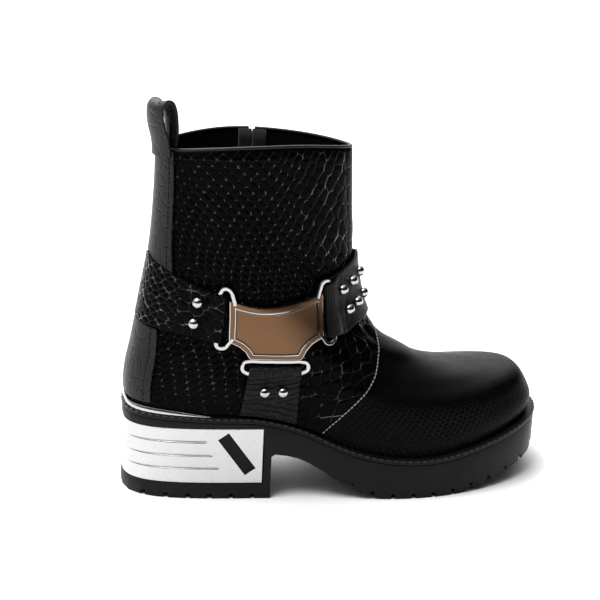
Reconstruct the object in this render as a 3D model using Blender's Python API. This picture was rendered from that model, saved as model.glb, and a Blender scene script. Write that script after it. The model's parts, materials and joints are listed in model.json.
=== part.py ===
"""A right-foot harness ankle boot: embossed leather upper, lugged rubber sole and metal-clad block heel.

Sizes are in millimetres and become metres when a mesh is made.  x runs from the back of the heel to
the toe, y from the outer side (negative) to the inner side (positive), z up from the floor.
"""

import math
from collections import namedtuple

import bmesh
import bpy
import numpy as np
from mathutils import Matrix, Vector

MM = 0.001
SHARP_ANGLE = math.radians(35)

# Driving sizes of the last and the sole
SOLE_LENGTH = 268.0
WALL = 2.4
LAP_STEP = 0.8
TOE_SWING = 7.0
SWING_START = 120.0
GAP = 0.3

# Sole stack: offsets are measured outwards from the feather line
HEEL_OUT = 2.6
TOE_OUT = 4.2
SOLE_FLARE = 0.5
WELT_LIP = 0.4
WELT_THICK = 3.0
INSOLE_THICK = 3.0
INSOLE_IN = 3.2
RIM_INNER = 0.6
RIM_OUTER = 2.0
RIM_HEIGHT = 3.0
RIM_END = 46.0

# Heel: block, metal wrap and its slanted slots
HEEL_BREAST = 82.0
PLATE_LOW = 10.0
PLATE_TOP = 44.4
PLATE_END = 76.8
RECESS_STEP = 0.004
PLATE_THICK = 1.2
SLOT_X = 61.8
SLOT_Z = 28.4
SLOT_LENGTH = 27.5
SLOT_WIDTH = 7.6
SLOT_TILT = 36.0

# Lugs: grooves across the tread
GROOVE_PITCH = 12.5
GROOVE_WIDTH = 2.6
GROOVE_DEPTH = 3.0
HEEL_GROOVES = 6
HEEL_GROOVE_START = 9.0
TREAD_GROOVES = 11
TREAD_GROOVE_START = 129.5

# Harness: plate centre on the outer side, bar section and lift, strap leather
PLATE_X = 82.3
PLATE_Z = 107.0
BAR = 3.0
BAR_LIFT = 2.6
STRAP_THICK = 1.6
STRAP_LIFT = 1.3
HEEL_FOLD = 24.0
INSTEP_FOLD = 17.5
STRAP_LOW = 97.5
STRAP_TOP = 126.5
INSTEP_LIFT = 1.9
STUD_RADIUS = 3.3
STUD_HEIGHT = 3.0
STUD_SPACING = 12.0
STUD_FIRST = 125.5
STUD_SHARES = (("low", 0.3), ("high", 0.69))
INSTEP_STUD_PAIRS = 5

# Leather strips down the back and the loop above the collar
STRIP_THICK = 1.2
STRIP_GAP = 0.45
BACKSTAY_HALF = 24.0
COUNTER_HALF = 16.0
LOOP_HALF = 11.0
LOOP_OFF = 5.0
LOOP_RISE = 0.3
LOOP_THICK = 1.6

# Zip on the inner side
ZIP_X = 78.0
ZIP_LOW = 74.0
ZIP_SLOT_HALF = 3.5
ZIP_TAPE_HALF = 8.5
ZIP_CHAIN_HALF = 2.4
SLIDER_Z = 192.0
PIN_LIFT = 4.8
PULL_LENGTH = 24.0

# Where along a section the three widths are measured, as shares of its length
HEEL_AT = 0.15
WAIST_AT = 0.40
BALL_AT = 0.68

# Height of the line where the upper meets the sole, along the foot
Feather = namedtuple("Feather", "x z")
FEATHER = (
    Feather(0, 53.0),
    Feather(44, 51.0),
    Feather(78, 49.5),
    Feather(100, 43.5),
    Feather(122, 33.5),
    Feather(140, 27.5),
    Feather(160, 24.5),
    Feather(182, 24.5),
    Feather(204, 28.0),
    Feather(225, 32.5),
    Feather(245, 37.5),
    Feather(264, 42.0),
)

# Sections of the upper from the feather line (t = 0) to the collar (t = 1).  Half widths are given
# for the outer and the inner side, back and front roundness as superellipse powers, follow says how
# much of the feather line's wave a section keeps, and crown lifts the middle of both sides.
Section = namedtuple(
    "Section",
    "t x_back z_back x_front z_front "
    "heel_out waist_out ball_out heel_in waist_in ball_in n_back n_front follow crown",
)
SECTIONS = (
    Section(0.00, 2.0, 53, 255, 40.5, 33.0, 37.5, 49.0, 31.0, 29.0, 42.0, 3.0, 2.8, 1.0, 0.0),
    Section(0.08, 1.5, 64, 256, 48, 33.5, 37.5, 50.0, 32.0, 30.0, 43.5, 3.0, 2.8, 1.0, 0.0),
    Section(0.16, 2.5, 75, 252.5, 56.0, 33.5, 37.0, 49.0, 32.0, 30.5, 43.0, 2.9, 2.7, 0.9, 0.0),
    Section(0.24, 5.0, 87, 246.0, 63.6, 33.0, 36.0, 46.0, 31.5, 31.0, 38.3, 2.8, 2.57, 0.75, 0.0),
    Section(0.32, 7.0, 98, 231, 64.8, 32.0, 35.0, 40.0, 31.0, 31.0, 30.0, 2.7, 2.2, 0.6, 0.0),
    Section(0.41, 9.0, 109, 205.5, 66.6, 31.5, 34.5, 36.4, 30.5, 31.0, 27.2, 2.6, 2.06, 0.45, 0.0),
    Section(0.50, 11.0, 120, 184.5, 71.6, 31.0, 34.0, 33.5, 30.5, 31.5, 28.4, 2.6, 2.1, 0.3, 0.0),
    Section(0.58, 13.0, 131, 173, 78.0, 30.5, 33.5, 31.5, 30.0, 31.5, 29.5, 2.5, 2.15, 0.2, 0.0),
    Section(0.66, 14.8, 142, 157, 88, 30.0, 33.0, 30.0, 29.5, 31.5, 29.0, 2.4, 2.1, 0.1, 0.0),
    Section(0.74, 16.2, 154, 144.5, 104, 29.5, 32.0, 28.5, 29.0, 31.0, 27.5, 2.4, 2.0, 0.0, 0.0),
    Section(0.82, 17.2, 168, 137.5, 127, 29.0, 31.0, 27.5, 28.5, 30.0, 27.0, 2.3, 1.9, 0.0, 0.5),
    Section(0.91, 18.0, 185, 134, 160, 28.5, 29.5, 26.5, 28.0, 29.0, 26.0, 2.2, 1.8, 0.0, 2.0),
    Section(1.00, 18.3, 204, 131.5, 204, 28.5, 29.0, 26.0, 28.0, 29.0, 25.5, 2.2, 1.7, 0.0, 5.0),
)

# Seam where the quarters lap over the vamp, seen from the side
Seam = namedtuple("Seam", "z x")
VAMP_SEAM = (
    Seam(20, 92),
    Seam(38, 111),
    Seam(48, 121),
    Seam(58, 131),
    Seam(69, 141),
    Seam(82, 148),
    Seam(94, 150),
    Seam(104, 147),
    Seam(125, 140),
)

# Lower line of the sole from the heel breast to the toe
Tread = namedtuple("Tread", "x z")
TREAD = (
    Tread(82, 0),
    Tread(82, 26.5),
    Tread(84, 28),
    Tread(91, 27.2),
    Tread(98, 25.5),
    Tread(104, 22.8),
    Tread(111, 18.5),
    Tread(119, 13),
    Tread(126, 9),
    Tread(133, 5.5),
    Tread(141, 2.2),
    Tread(150, 0),
    Tread(182, 0),
    Tread(192, 1),
    Tread(202, 2.4),
    Tread(212, 4.0),
    Tread(222, 6.0),
    Tread(232, 8.4),
    Tread(242, 11.2),
    Tread(251, 14.2),
    Tread(260, 17.6),
    Tread(270, 22.0),
)

# Half of the harness plate's body (mirrored), across and up from its middle
PlateEdge = namedtuple("PlateEdge", "across low high")
PLATE_BODY = (
    PlateEdge(0.0, -19.5, 11.5),
    PlateEdge(7.5, -19.5, 11.9),
    PlateEdge(14.0, -19.5, 12.9),
    PlateEdge(15.4, -18.4, 13.2),
    PlateEdge(17.2, -14.6, 13.7),
    PlateEdge(20.0, -11.8, 14.4),
    PlateEdge(23.6, -9.8, 15.5),
    PlateEdge(26.6, -8.8, 16.6),
)

# Path of a side loop and of the lower loop of the plate, across and up from its middle
LoopPoint = namedtuple("LoopPoint", "across up")
SIDE_LOOP = (
    LoopPoint(23.4, 13.5),
    LoopPoint(24.9, 18.6),
    LoopPoint(26.2, 21.9),
    LoopPoint(28.4, 23.2),
    LoopPoint(30.6, 22.3),
    LoopPoint(31.4, 20.2),
    LoopPoint(32.0, 12.7),
    LoopPoint(32.6, 5.0),
    LoopPoint(33.1, -1.8),
    LoopPoint(33.6, -8.6),
    LoopPoint(33.1, -11.4),
    LoopPoint(31.2, -12.6),
    LoopPoint(28.8, -12.2),
    LoopPoint(26.8, -9.6),
    LoopPoint(24.2, -6.5),
)
LOWER_LOOP = (
    LoopPoint(-13.0, -17.0),
    LoopPoint(-15.6, -20.0),
    LoopPoint(-18.2, -21.6),
    LoopPoint(-19.0, -23.4),
    LoopPoint(-18.6, -26.0),
    LoopPoint(-16.6, -27.2),
    LoopPoint(0.0, -27.2),
    LoopPoint(16.6, -27.2),
    LoopPoint(18.6, -26.0),
    LoopPoint(19.0, -23.4),
    LoopPoint(18.2, -21.6),
    LoopPoint(15.6, -20.0),
    LoopPoint(13.0, -17.0),
)

# Path of a strap end round its bar: ahead is towards the plate's window, lift is off the leather
Fold = namedtuple("Fold", "ahead lift")
FOLD = (
    Fold(-9.0, 1.3),
    Fold(-4.0, 1.2),
    Fold(0.4, 1.2),
    Fold(2.0, 1.6),
    Fold(2.75, 2.6),
    Fold(2.9, 4.1),
    Fold(2.8, 5.5),
    Fold(2.1, 6.6),
    Fold(0.4, 6.95),
    Fold(-1.7, 6.85),
    Fold(-4.2, 5.2),
    Fold(-6.6, 3.5),
    Fold(-8.6, 3.0),
)

# Middle line of the pull loop above the collar
LoopPath = namedtuple("LoopPath", "x z bend turn")
PULL_LOOP = (
    LoopPath(14.9, 209, 0.95, 0.0),
    LoopPath(13.2, 216, 0.9, 0.0),
    LoopPath(12.4, 222.5, 0.85, 0.0),
    LoopPath(13.0, 227.5, 0.85, 0.1),
    LoopPath(15.8, 230.3, 0.85, 0.3),
    LoopPath(18.8, 229.4, 0.8, 0.5),
    LoopPath(21.0, 225.5, 0.75, 0.7),
    LoopPath(22.4, 219.0, 0.7, 0.9),
    LoopPath(22.9, 210.5, 0.68, 1.0),
)

# Fineness of the lattice that every leather piece is read from
HALF_COLUMNS = 180
LATTICE_ROWS = 120
ARC_POINTS = 721


def through(knots, values, at):
    """Read a smooth curve through the points (knots, values) at the places in at."""
    knots = np.asarray(knots, float)
    values = np.asarray(values, float)
    slopes = np.gradient(values, knots)
    at = np.clip(at, knots[0], knots[-1])
    k = np.clip(np.searchsorted(knots, at) - 1, 0, len(knots) - 2)
    span = knots[k + 1] - knots[k]
    f = (at - knots[k]) / span
    rise = values[k + 1] - values[k]
    bend_in = slopes[k] * span - rise
    bend_out = -slopes[k + 1] * span + rise
    return values[k] + f * rise + f * (1 - f) * ((1 - f) * bend_in + f * bend_out)


def column(rows, name):
    """One named column of a table."""
    return [getattr(row, name) for row in rows]


def feather_z(x):
    """Height of the feather line at length x."""
    return through(column(FEATHER, "x"), column(FEATHER, "z"), x)


def foot_axis(x):
    """Sideways swing of the foot's middle line towards the big toe."""
    share = np.clip((np.asarray(x) - SWING_START) / (SOLE_LENGTH - SWING_START), 0, 1)
    return TOE_SWING * share**2


def half_section(t, side):
    """One side of the section at t, from the back seam to the front line, evenly spaced.

    side is -1 for the outer half and 1 for the inner one.
    """
    at = {name: float(through(column(SECTIONS, "t"), column(SECTIONS, name), t))
          for name in Section._fields[1:]}
    way = "out" if side < 0 else "in"
    turn = np.linspace(0, math.pi, ARC_POINTS)
    s = (1 - np.cos(turn)) / 2
    x = at["x_back"] + (at["x_front"] - at["x_back"]) * s
    heel, waist, ball = (at[f"{place}_{way}"] for place in ("heel", "waist", "ball"))
    width = through((0, HEEL_AT, WAIST_AT, BALL_AT, 1), (heel, heel, waist, ball, ball), s)
    power = np.where(s < 0.5, at["n_back"], at["n_front"])
    cap = np.maximum(1 - np.abs(np.cos(turn)) ** power, 0) ** (1 / power)
    y = side * width * cap + foot_axis(x)
    chord = at["z_back"] + (at["z_front"] - at["z_back"]) * s
    low, high = feather_z(at["x_back"]), feather_z(at["x_front"])
    z = chord + at["follow"] * (feather_z(x) - low - (high - low) * s)
    z = z + at["crown"] * 4 * s * (1 - s)
    points = np.stack([x, y, z], axis=1)
    run = np.concatenate([[0], np.cumsum(np.linalg.norm(np.diff(points, axis=0), axis=1))])
    even = np.linspace(0, run[-1], HALF_COLUMNS + 1)
    return np.stack([np.interp(even, run, points[:, k]) for k in range(3)], axis=1)


def make_lattice():
    """Points and outward normals of the upper's outer face, rows up from the feather line."""
    rows = []
    for t in np.linspace(0, 1, LATTICE_ROWS + 1):
        outer = half_section(t, -1)
        inner = half_section(t, 1)
        rows.append(np.concatenate([outer[:-1], inner[:0:-1]]))
    points = np.stack(rows)
    along = np.roll(points, -1, axis=1) - np.roll(points, 1, axis=1)
    up = np.gradient(points, axis=0)
    normals = np.cross(along, up)
    normals /= np.linalg.norm(normals, axis=2, keepdims=True)
    return points, normals


LATTICE, NORMALS = make_lattice()


def skin(u, t, lift=0.0):
    """Points at share u round the upper (0 back, 1 front, outer side between) and share t up it."""
    u, t, lift = np.broadcast_arrays(np.asarray(u, float), np.asarray(t, float), np.asarray(lift, float))
    count = 2 * HALF_COLUMNS
    a = (u % 2) * HALF_COLUMNS
    b = np.clip(t, 0, 1) * LATTICE_ROWS
    j = np.floor(a).astype(int) % count
    i = np.clip(np.floor(b).astype(int), 0, LATTICE_ROWS - 1)
    f = (a - np.floor(a))[..., None]
    g = (b - i)[..., None]
    k = (j + 1) % count

    def read(grid):
        low = grid[i, j] * (1 - f) + grid[i, k] * f
        high = grid[i + 1, j] * (1 - f) + grid[i + 1, k] * f
        return low * (1 - g) + high * g

    normal = read(NORMALS)
    normal = normal / np.linalg.norm(normal, axis=-1, keepdims=True)
    beyond = np.maximum(t - 1, 0)[..., None] * (read(LATTICE) - LATTICE[-13, j]) * 10
    return read(LATTICE) + beyond + lift[..., None] * normal


def t_at(u, z):
    """Share t at which the column at u reaches the height z."""
    rows = np.linspace(0, 1, LATTICE_ROWS + 1)
    heights = skin(u, rows)[:, 2]
    return float(np.interp(z, np.maximum.accumulate(heights), rows))


CLIMB = np.maximum.accumulate(LATTICE[:, :, 2], axis=0)
SIDE_COLUMNS = np.arange(2, HALF_COLUMNS - 1)


def place(x, z, side=-1):
    """Shares (u, t) of the point with length x and height z on one side of the upper."""
    columns = SIDE_COLUMNS if side < 0 else 2 * HALF_COLUMNS - SIDE_COLUMNS
    climb = CLIMB[:, columns]
    picked = np.arange(len(columns))
    i = np.clip((climb < z).sum(axis=0) - 1, 0, LATTICE_ROWS - 1)
    rise = np.maximum(climb[i + 1, picked] - climb[i, picked], 1e-9)
    f = np.clip((z - climb[i, picked]) / rise, 0, 1)
    lengths = LATTICE[i, columns, 0] * (1 - f) + LATTICE[i + 1, columns, 0] * f
    u = float(np.interp(x, np.maximum.accumulate(lengths), columns / HALF_COLUMNS))
    return u, t_at(u, z)


def heel_line(u, back, front, front_u):
    """Height that runs from back at the back seam to front at front_u, the same on both sides."""
    share = np.clip(np.abs(u) / front_u, 0, 1)
    return back + (front - back) * share


def collection(name):
    """The scene's collection of that name, made when it is first asked for."""
    found = bpy.data.collections.get(name)
    if found is None:
        found = bpy.data.collections.new(name)
        bpy.context.scene.collection.children.link(found)
    return found


def mesh_object(name, bm, material):
    """Put a finished bmesh into the scene, in metres, with outward faces."""
    bm.normal_update()
    bmesh.ops.recalc_face_normals(bm, faces=bm.faces[:])
    bmesh.ops.scale(bm, vec=(MM, MM, MM), verts=bm.verts[:])
    mesh = bpy.data.meshes.new(name)
    bm.to_mesh(mesh)
    bm.free()
    mesh.shade_smooth()
    mesh.set_sharp_from_angle(angle=SHARP_ANGLE)
    thing = bpy.data.objects.new(name, mesh)
    collection("harness_ankle_boot").objects.link(thing)
    if material:
        mesh.materials.append(material)
    return thing


def loft(name, loops, material, ring=False):
    """Skin equal closed loops in order; ring joins the last to the first, otherwise ends are capped."""
    bm = bmesh.new()
    rows = [[bm.verts.new(point) for point in loop] for loop in loops]
    count = len(rows[0])
    pairs = list(zip(rows, rows[1:]))
    if ring:
        pairs.append((rows[-1], rows[0]))
    for low, high in pairs:
        for j in range(count):
            k = (j + 1) % count
            bm.faces.new((low[j], low[k], high[k], high[j]))
    if not ring:
        for row in (rows[0], rows[-1]):
            for j in range(count // 2 - 1):
                bm.faces.new((row[j], row[j + 1], row[count - 2 - j], row[count - 1 - j]))
    bmesh.ops.triangulate(bm, faces=bm.faces[:])
    return mesh_object(name, bm, material)


def band(name, centre, thick, material):
    """A strip of even thickness whose middle surface is the grid centre[along][across]."""
    centre = np.asarray(centre)
    normal = np.cross(np.gradient(centre, axis=0), np.gradient(centre, axis=1))
    normal /= np.linalg.norm(normal, axis=2, keepdims=True)
    over = centre + normal * thick / 2
    under = centre - normal * thick / 2
    return loft(name, np.concatenate([over, under[:, ::-1]], axis=1), material)


def box(name, size, matrix, material=None):
    """A block of the given size, placed by a 4 by 4 matrix of rows in millimetres."""
    bm = bmesh.new()
    bmesh.ops.create_cube(bm, size=1.0)
    bmesh.ops.scale(bm, vec=size, verts=bm.verts[:])
    move(bm, matrix)
    return mesh_object(name, bm, material)


def rod(name, radius, length, matrix, material=None):
    """A round bar along the local z axis, placed by a matrix."""
    bm = bmesh.new()
    bmesh.ops.create_cone(bm, cap_ends=True, segments=16, radius1=radius, radius2=radius, depth=length)
    move(bm, matrix)
    return mesh_object(name, bm, material)


def move(bm, matrix):
    """Carry every vertex of a bmesh through a 4 by 4 matrix."""
    for vert in bm.verts:
        vert.co = (matrix @ np.append(np.array(vert.co), 1.0))[:3]


def frame_matrix(origin, right, ahead, out):
    """Matrix with the given local axes and origin."""
    matrix = np.eye(4)
    matrix[:3, 0], matrix[:3, 1], matrix[:3, 2], matrix[:3, 3] = right, ahead, out, origin
    return matrix


def combine(target, tool, operation):
    """Add an exact Boolean to target and put the tool away as a hidden cutter."""
    for holder in list(tool.users_collection):
        holder.objects.unlink(tool)
    collection("cutters").objects.link(tool)
    tool.hide_render = True
    tool.display_type = "WIRE"
    step = target.modifiers.new(tool.name, "BOOLEAN")
    step.operation = operation
    step.solver = "EXACT"
    step.object = tool


def make_material(name, colour, rough, metal=0.0):
    """A plain Principled material."""
    material = bpy.data.materials.new(name)
    material.use_nodes = True
    shader = material.node_tree.nodes["Principled BSDF"]
    shader.inputs["Base Color"].default_value = (*colour, 1.0)
    shader.inputs["Roughness"].default_value = rough
    shader.inputs["Metallic"].default_value = metal
    return material


# Sole stack

EVEN_COLUMNS = (np.arange(72) + 0.5) / 36


def outline(offset, columns=EVEN_COLUMNS):
    """Plan of the feather line moved outwards by offset, with the feather height of each point."""
    base = LATTICE[0]
    along = np.roll(base, -1, axis=0)[:, :2] - np.roll(base, 1, axis=0)[:, :2]
    along /= np.linalg.norm(along, axis=1, keepdims=True)
    out = np.stack([along[:, 1], -along[:, 0]], axis=1)
    places = np.arange(2 * HALF_COLUMNS + 1) / HALF_COLUMNS
    ring = np.vstack([base, base[:1]])
    turn = np.vstack([out, out[:1]])
    read = [np.interp(columns % 2, places, values) for values in (*ring.T, *turn.T)]
    offset = np.broadcast_to(offset, np.shape(columns))
    return np.stack([read[0] + offset * read[3], read[1] + offset * read[4], read[2]], axis=1)


def sole_out(columns=EVEN_COLUMNS):
    """How far the sole stands out beyond the feather line: little at the heel, more at the toe."""
    x = outline(0.0, columns)[:, 0]
    return HEEL_OUT + (TOE_OUT - HEEL_OUT) * np.clip((x - 90) / 40, 0, 1)


def sole_columns():
    """Columns round the sole, with a close pair on either side where the metal wrap ends."""
    columns = EVEN_COLUMNS.copy()
    outer = np.linspace(0.05, 0.95, 181)
    for fine, mirror in ((outer, False), (2 - outer, True)):
        end = np.interp(PLATE_END, outline(sole_out(fine), fine)[:, 0], fine)
        half = columns[:36]
        k = int(np.argmax(half > (2 - end if mirror else end)))
        if mirror:
            columns[71 - k] = end - RECESS_STEP
            columns[72 - k] = end
        else:
            columns[k] = end + RECESS_STEP
            columns[k - 1] = end
    return columns


SOLE_COLUMNS = sole_columns()


def slab(name, offset, low, high, material):
    """A sheet that follows the feather line between two heights above it."""
    loop = outline(offset)
    shift = np.array([0, 0, 1.0])
    return loft(name, [loop + shift * low, loop + shift * high], material)


def make_outsole(material):
    """The rubber unit: walls, heel recess for the metal wrap, arch and grooved tread."""
    stand = sole_out(SOLE_COLUMNS)
    base = outline(stand, SOLE_COLUMNS)
    heel = base[:, 0] < PLATE_END + 0.1
    top = base[:, 2] - WELT_THICK - 2 * GAP
    levels = (
        (0.00, -6.0, 0.0),
        (0.30, PLATE_LOW, 0.0),
        (0.33, PLATE_LOW, PLATE_THICK + GAP),
        (0.72, PLATE_TOP, PLATE_THICK + GAP),
        (0.75, PLATE_TOP, 0.0),
        (1.00, None, 0.0),
    )
    loops = []
    for share, heel_z, inset in levels:
        z = -6.0 + share * (top + 6.0)
        if heel_z is not None:
            z = np.where(heel, heel_z, z)
        flare = SOLE_FLARE * (1 - np.clip(z / 50, 0, 1))
        loop = outline(stand + flare - np.where(heel, inset, 0.0), SOLE_COLUMNS)
        loop[:, 2] = z
        loops.append(loop)
    sole = loft("outsole", loops, material)

    over = [(300.0, 36.0), (300.0, 120.0), (-30.0, 120.0)]
    side = [(-30.0, 0.0)] + [(row.x, row.z) for row in TREAD] + over
    half = [np.array([(x, y, z) for x, z in side]) for y in (-90.0, 90.0)]
    combine(sole, extruded("sole_profile", half), "INTERSECT")
    for k in range(HEEL_GROOVES):
        combine(sole, groove(f"heel_groove_{k}", HEEL_GROOVE_START + k * GROOVE_PITCH), "DIFFERENCE")
    for k in range(TREAD_GROOVES):
        combine(sole, groove(f"tread_groove_{k}", TREAD_GROOVE_START + k * GROOVE_PITCH), "DIFFERENCE")
    return sole


def extruded(name, ends):
    """A prism between two equal flat polygons, each a single face."""
    bm = bmesh.new()
    rows = [[bm.verts.new(point) for point in end] for end in ends]
    for row in rows:
        bm.faces.new(row)
    for j, low in enumerate(rows[0]):
        k = (j + 1) % len(rows[0])
        bm.faces.new((low, rows[0][k], rows[1][k], rows[1][j]))
    return mesh_object(name, bm, None)


def groove(name, x):
    """Cutter for one groove across the tread at length x."""
    floor = 0.0
    if x > HEEL_BREAST:
        floor = float(np.interp(x, column(TREAD, "x")[1:], column(TREAD, "z")[1:]))
    tall = 2 * GROOVE_DEPTH
    middle = frame_matrix((x, 0, floor), (1, 0, 0), (0, 1, 0), (0, 0, 1))
    return box(name, (GROOVE_WIDTH, 200.0, tall), middle)


def heel_columns(limit):
    """Columns round the back whose outline lies behind limit, from the outer to the inner side."""
    columns = np.concatenate([SOLE_COLUMNS[:36][::-1], SOLE_COLUMNS[:35:-1] - 2])
    return columns[outline(sole_out(columns), columns)[:, 0] < limit + 0.1]


def wrap(name, columns, inner, outer, low, high, material):
    """A standing strip round the heel between two offsets and two rows of heights."""
    loops = []
    for heights, lean in ((low, 0), (high, 1)):
        near = outline(inner[lean], columns)
        far = outline(outer[lean], columns)
        near[:, 2] = heights
        far[:, 2] = heights
        loops.append(np.vstack([far, near[::-1]]))
    return loft(name, loops, material)


def make_heel_plate(material):
    """The metal wrap of the block heel with a slanted slot on either side."""
    columns = heel_columns(PLATE_END)
    rises = (PLATE_LOW + GAP, PLATE_TOP - GAP)
    inner = [sole_out(columns) + SOLE_FLARE * (1 - z / 50) - PLATE_THICK for z in rises]
    outer = [value + PLATE_THICK for value in inner]
    plate = wrap("heel_plate", columns, inner, outer, rises[0], rises[1], material)
    lean = math.radians(SLOT_TILT)
    along = (-math.sin(lean), 0, math.cos(lean))
    cross = (math.cos(lean), 0, math.sin(lean))
    for side, label in ((-1, "outer"), (1, "inner")):
        middle = frame_matrix((SLOT_X, side * 40.0, SLOT_Z), cross, (0, 1, 0), along)
        slot = box(f"slot_{label}", (SLOT_WIDTH, 40.0, SLOT_LENGTH), middle)
        combine(plate, slot, "DIFFERENCE")
    return plate


def make_heel_rim(material):
    """The bright strip on the welt round the back, lower towards its ends."""
    columns = heel_columns(RIM_END)
    foot = outline(RIM_OUTER, columns)
    tall = RIM_HEIGHT * (1 - 0.7 * np.clip(foot[:, 0] / RIM_END, 0, 1) ** 2)
    inner = (RIM_INNER, RIM_INNER)
    outer = (RIM_OUTER, RIM_OUTER - 0.5)
    return wrap("heel_rim", columns, inner, outer, foot[:, 2], foot[:, 2] + tall, material)


# Upper


def seam_share(t):
    """Share u of the outer side at which the quarter's front edge crosses the section at t."""
    columns = np.linspace(0, 1, HALF_COLUMNS + 1)
    row = skin(columns, t)
    ahead = row[:, 0] - through(column(VAMP_SEAM, "z"), column(VAMP_SEAM, "x"), row[:, 2])
    return float(min(columns[np.argmax(ahead > 0)], 0.93)) if ahead.max() > 0 else 0.93


def seam_over(t):
    """True where the section at t lies above the point of the seam on the front line."""
    front = skin(1.0, t)
    return front[0] < through(column(VAMP_SEAM, "z"), column(VAMP_SEAM, "x"), front[2])


QUARTER_COLUMNS = 20
VAMP_COLUMNS = 14
SEAM_STEP = 0.004


def upper_columns(t):
    """Shares u round the upper at height t, with a pair of columns on each quarter seam."""
    seam = seam_share(t)
    outer = np.concatenate([
        np.linspace(0, seam - SEAM_STEP, QUARTER_COLUMNS),
        np.linspace(seam + SEAM_STEP, 1, VAMP_COLUMNS),
    ])
    sunk = np.zeros(len(outer)) if seam_over(t) else np.where(outer > seam, -LAP_STEP, 0.0)
    columns = np.concatenate([outer, 2 - outer[-2:0:-1]])
    return columns, np.concatenate([sunk, sunk[-2:0:-1]])


def make_upper(material):
    """One hollow leather solid, open at the collar and underneath, slit for the zip."""
    outside = np.concatenate([np.linspace(0, 0.32, 9), np.linspace(0.38, 1, 11)])
    inside = np.concatenate([np.linspace(1, 0.40, 7), np.linspace(0.30, 0, 4)])
    loops = []
    for t in outside:
        columns, sunk = upper_columns(t)
        loops.append(skin(columns, t, sunk))
    for t in inside:
        columns, sunk = upper_columns(t)
        loop = skin(columns, t, -WALL)
        if t == 0:
            loop[:, 2] = loops[0][:, 2]
        if t == 1:
            loop[:, 2] = loops[len(outside) - 1][:, 2]
        loops.append(loop)
    upper = loft("upper", loops, material, ring=True)
    rows = np.linspace(t_at(zip_share(ZIP_LOW), ZIP_LOW), 1.08, 14)
    across = np.array([-ZIP_SLOT_HALF, 0.0, ZIP_SLOT_HALF])
    slit = [zip_points(t, across, -WALL / 2) for t in rows]
    combine(upper, band("zip_slot", slit, 14.0, None), "DIFFERENCE")
    return upper


def zip_share(z):
    """Share u of the zip's middle line at height z."""
    return place(ZIP_X, z, side=1)[0]


def zip_points(t, across, lift):
    """Points beside the zip's middle line at share t, across in millimetres towards the toe."""
    rises = np.linspace(ZIP_LOW - 8, 203.0, 48)
    line = [place(ZIP_X, z, side=1) for z in rises]
    u = np.interp(t, [row[1] for row in line], [row[0] for row in line])
    step = 0.01
    pitch = np.linalg.norm(skin(u + step, min(t, 1)) - skin(u - step, min(t, 1))) / (2 * step)
    return skin(u - np.asarray(across) / pitch, t, lift)


# Leather strips


def strap_heights(u, bar_u):
    """Lower and upper edge of the heel strap at share u."""
    return heel_line(u, 105.0, STRAP_LOW, bar_u), heel_line(u, 144.0, STRAP_TOP, bar_u)


def make_back_strips(material):
    """The strips above and below the heel strap, down the middle of the back."""
    bar_u = place(PLATE_X - 34.5, 112.0)[0]
    made = []
    for name, half, end in (("backstay", BACKSTAY_HALF, 1), ("counter_strip", COUNTER_HALF, 0)):
        pitch = np.linalg.norm(skin(0.02, 0.6) - skin(0, 0.6)) / 0.02
        columns = np.linspace(-half, half, 9) / pitch
        grid = []
        for share in np.linspace(0, 1, 8 if end else 6):
            row = []
            for u in columns:
                low, high = strap_heights(u, bar_u)
                if end:
                    start, stop = t_at(u % 2, high + 0.8), 0.997
                else:
                    start, stop = 0.045, t_at(u % 2, low - 0.8)
                row.append(skin(u, start + (stop - start) * share, STRIP_GAP + STRIP_THICK / 2))
            grid.append(row)
        made.append(band(name, grid, STRIP_THICK, material))
    return made


def make_pull_loop(material):
    """The leather loop that stands above the collar at the back."""
    pitch = np.linalg.norm(skin(0.02, 1.0) - skin(0, 1.0)) / 0.02
    columns = np.linspace(LOOP_OFF - LOOP_HALF, LOOP_OFF + LOOP_HALF, 5) / pitch
    over = STRIP_GAP + STRIP_THICK + GAP + LOOP_THICK / 2
    under = -WALL - GAP - LOOP_THICK / 2
    outside = [skin(columns, t, over) for t in (0.968, 0.982, 0.997)]
    inside = [skin(columns, t, under) for t in (0.995, 0.96, 0.92)]
    base = outside[-1]
    bow = base[:, 0] - skin(0, 0.997, over)[0]
    above = []
    for row in PULL_LOOP:
        y = base[:, 1] + row.turn * (inside[0][:, 1] - base[:, 1])
        above.append(np.stack([row.x + row.bend * bow, y, row.z + LOOP_RISE * bow], axis=1))
    return band("pull_loop", outside + above + inside, LOOP_THICK, material)


ACROSS = np.linspace(0, 1, 5)
FOLD_NEAR = -5.0


def bar_across(up):
    """Distance of the outer bar of a side loop from the plate's middle at a height on the plate."""
    run = sorted((row.up, row.across) for row in SIDE_LOOP[5:10])
    return np.interp(up, [row[0] for row in run], [row[1] for row in run])


def bar_points(sign, ahead=0.0):
    """Shares (u, t) along a side loop's outer bar, from low to high, ahead towards the window."""
    heights = STRAP_LOW + (STRAP_TOP - STRAP_LOW) * ACROSS
    return [place(PLATE_X + sign * (bar_across(z - PLATE_Z) - ahead), z) for z in heights]


def fold_rows(sign, heights, length):
    """Rows of a strap end round a side bar; sign is -1 for the bar behind the plate, 1 for the front."""
    bar = bar_points(sign)
    tail = bar_points(sign, FOLD_NEAR)
    step = 0.004
    rows = []
    for row in list(FOLD) + [Fold(-length * 0.75, 3.0), Fold(-length, 3.0)]:
        near = bar_points(sign, max(row.ahead, FOLD_NEAR))
        line = []
        for w, (u, t), (end, _) in zip(ACROSS, near, tail):
            here = u
            if row.ahead < FOLD_NEAR:
                pitch = np.linalg.norm(skin(u + step, t) - skin(u - step, t)) / (2 * step)
                here = end - sign * (row.ahead - FOLD_NEAR) / pitch
            low, high = heights(here, bar[2][0])
            line.append(skin(here, t_at(here, low + (high - low) * w), row.lift))
        rows.append(line)
    return rows


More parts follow.
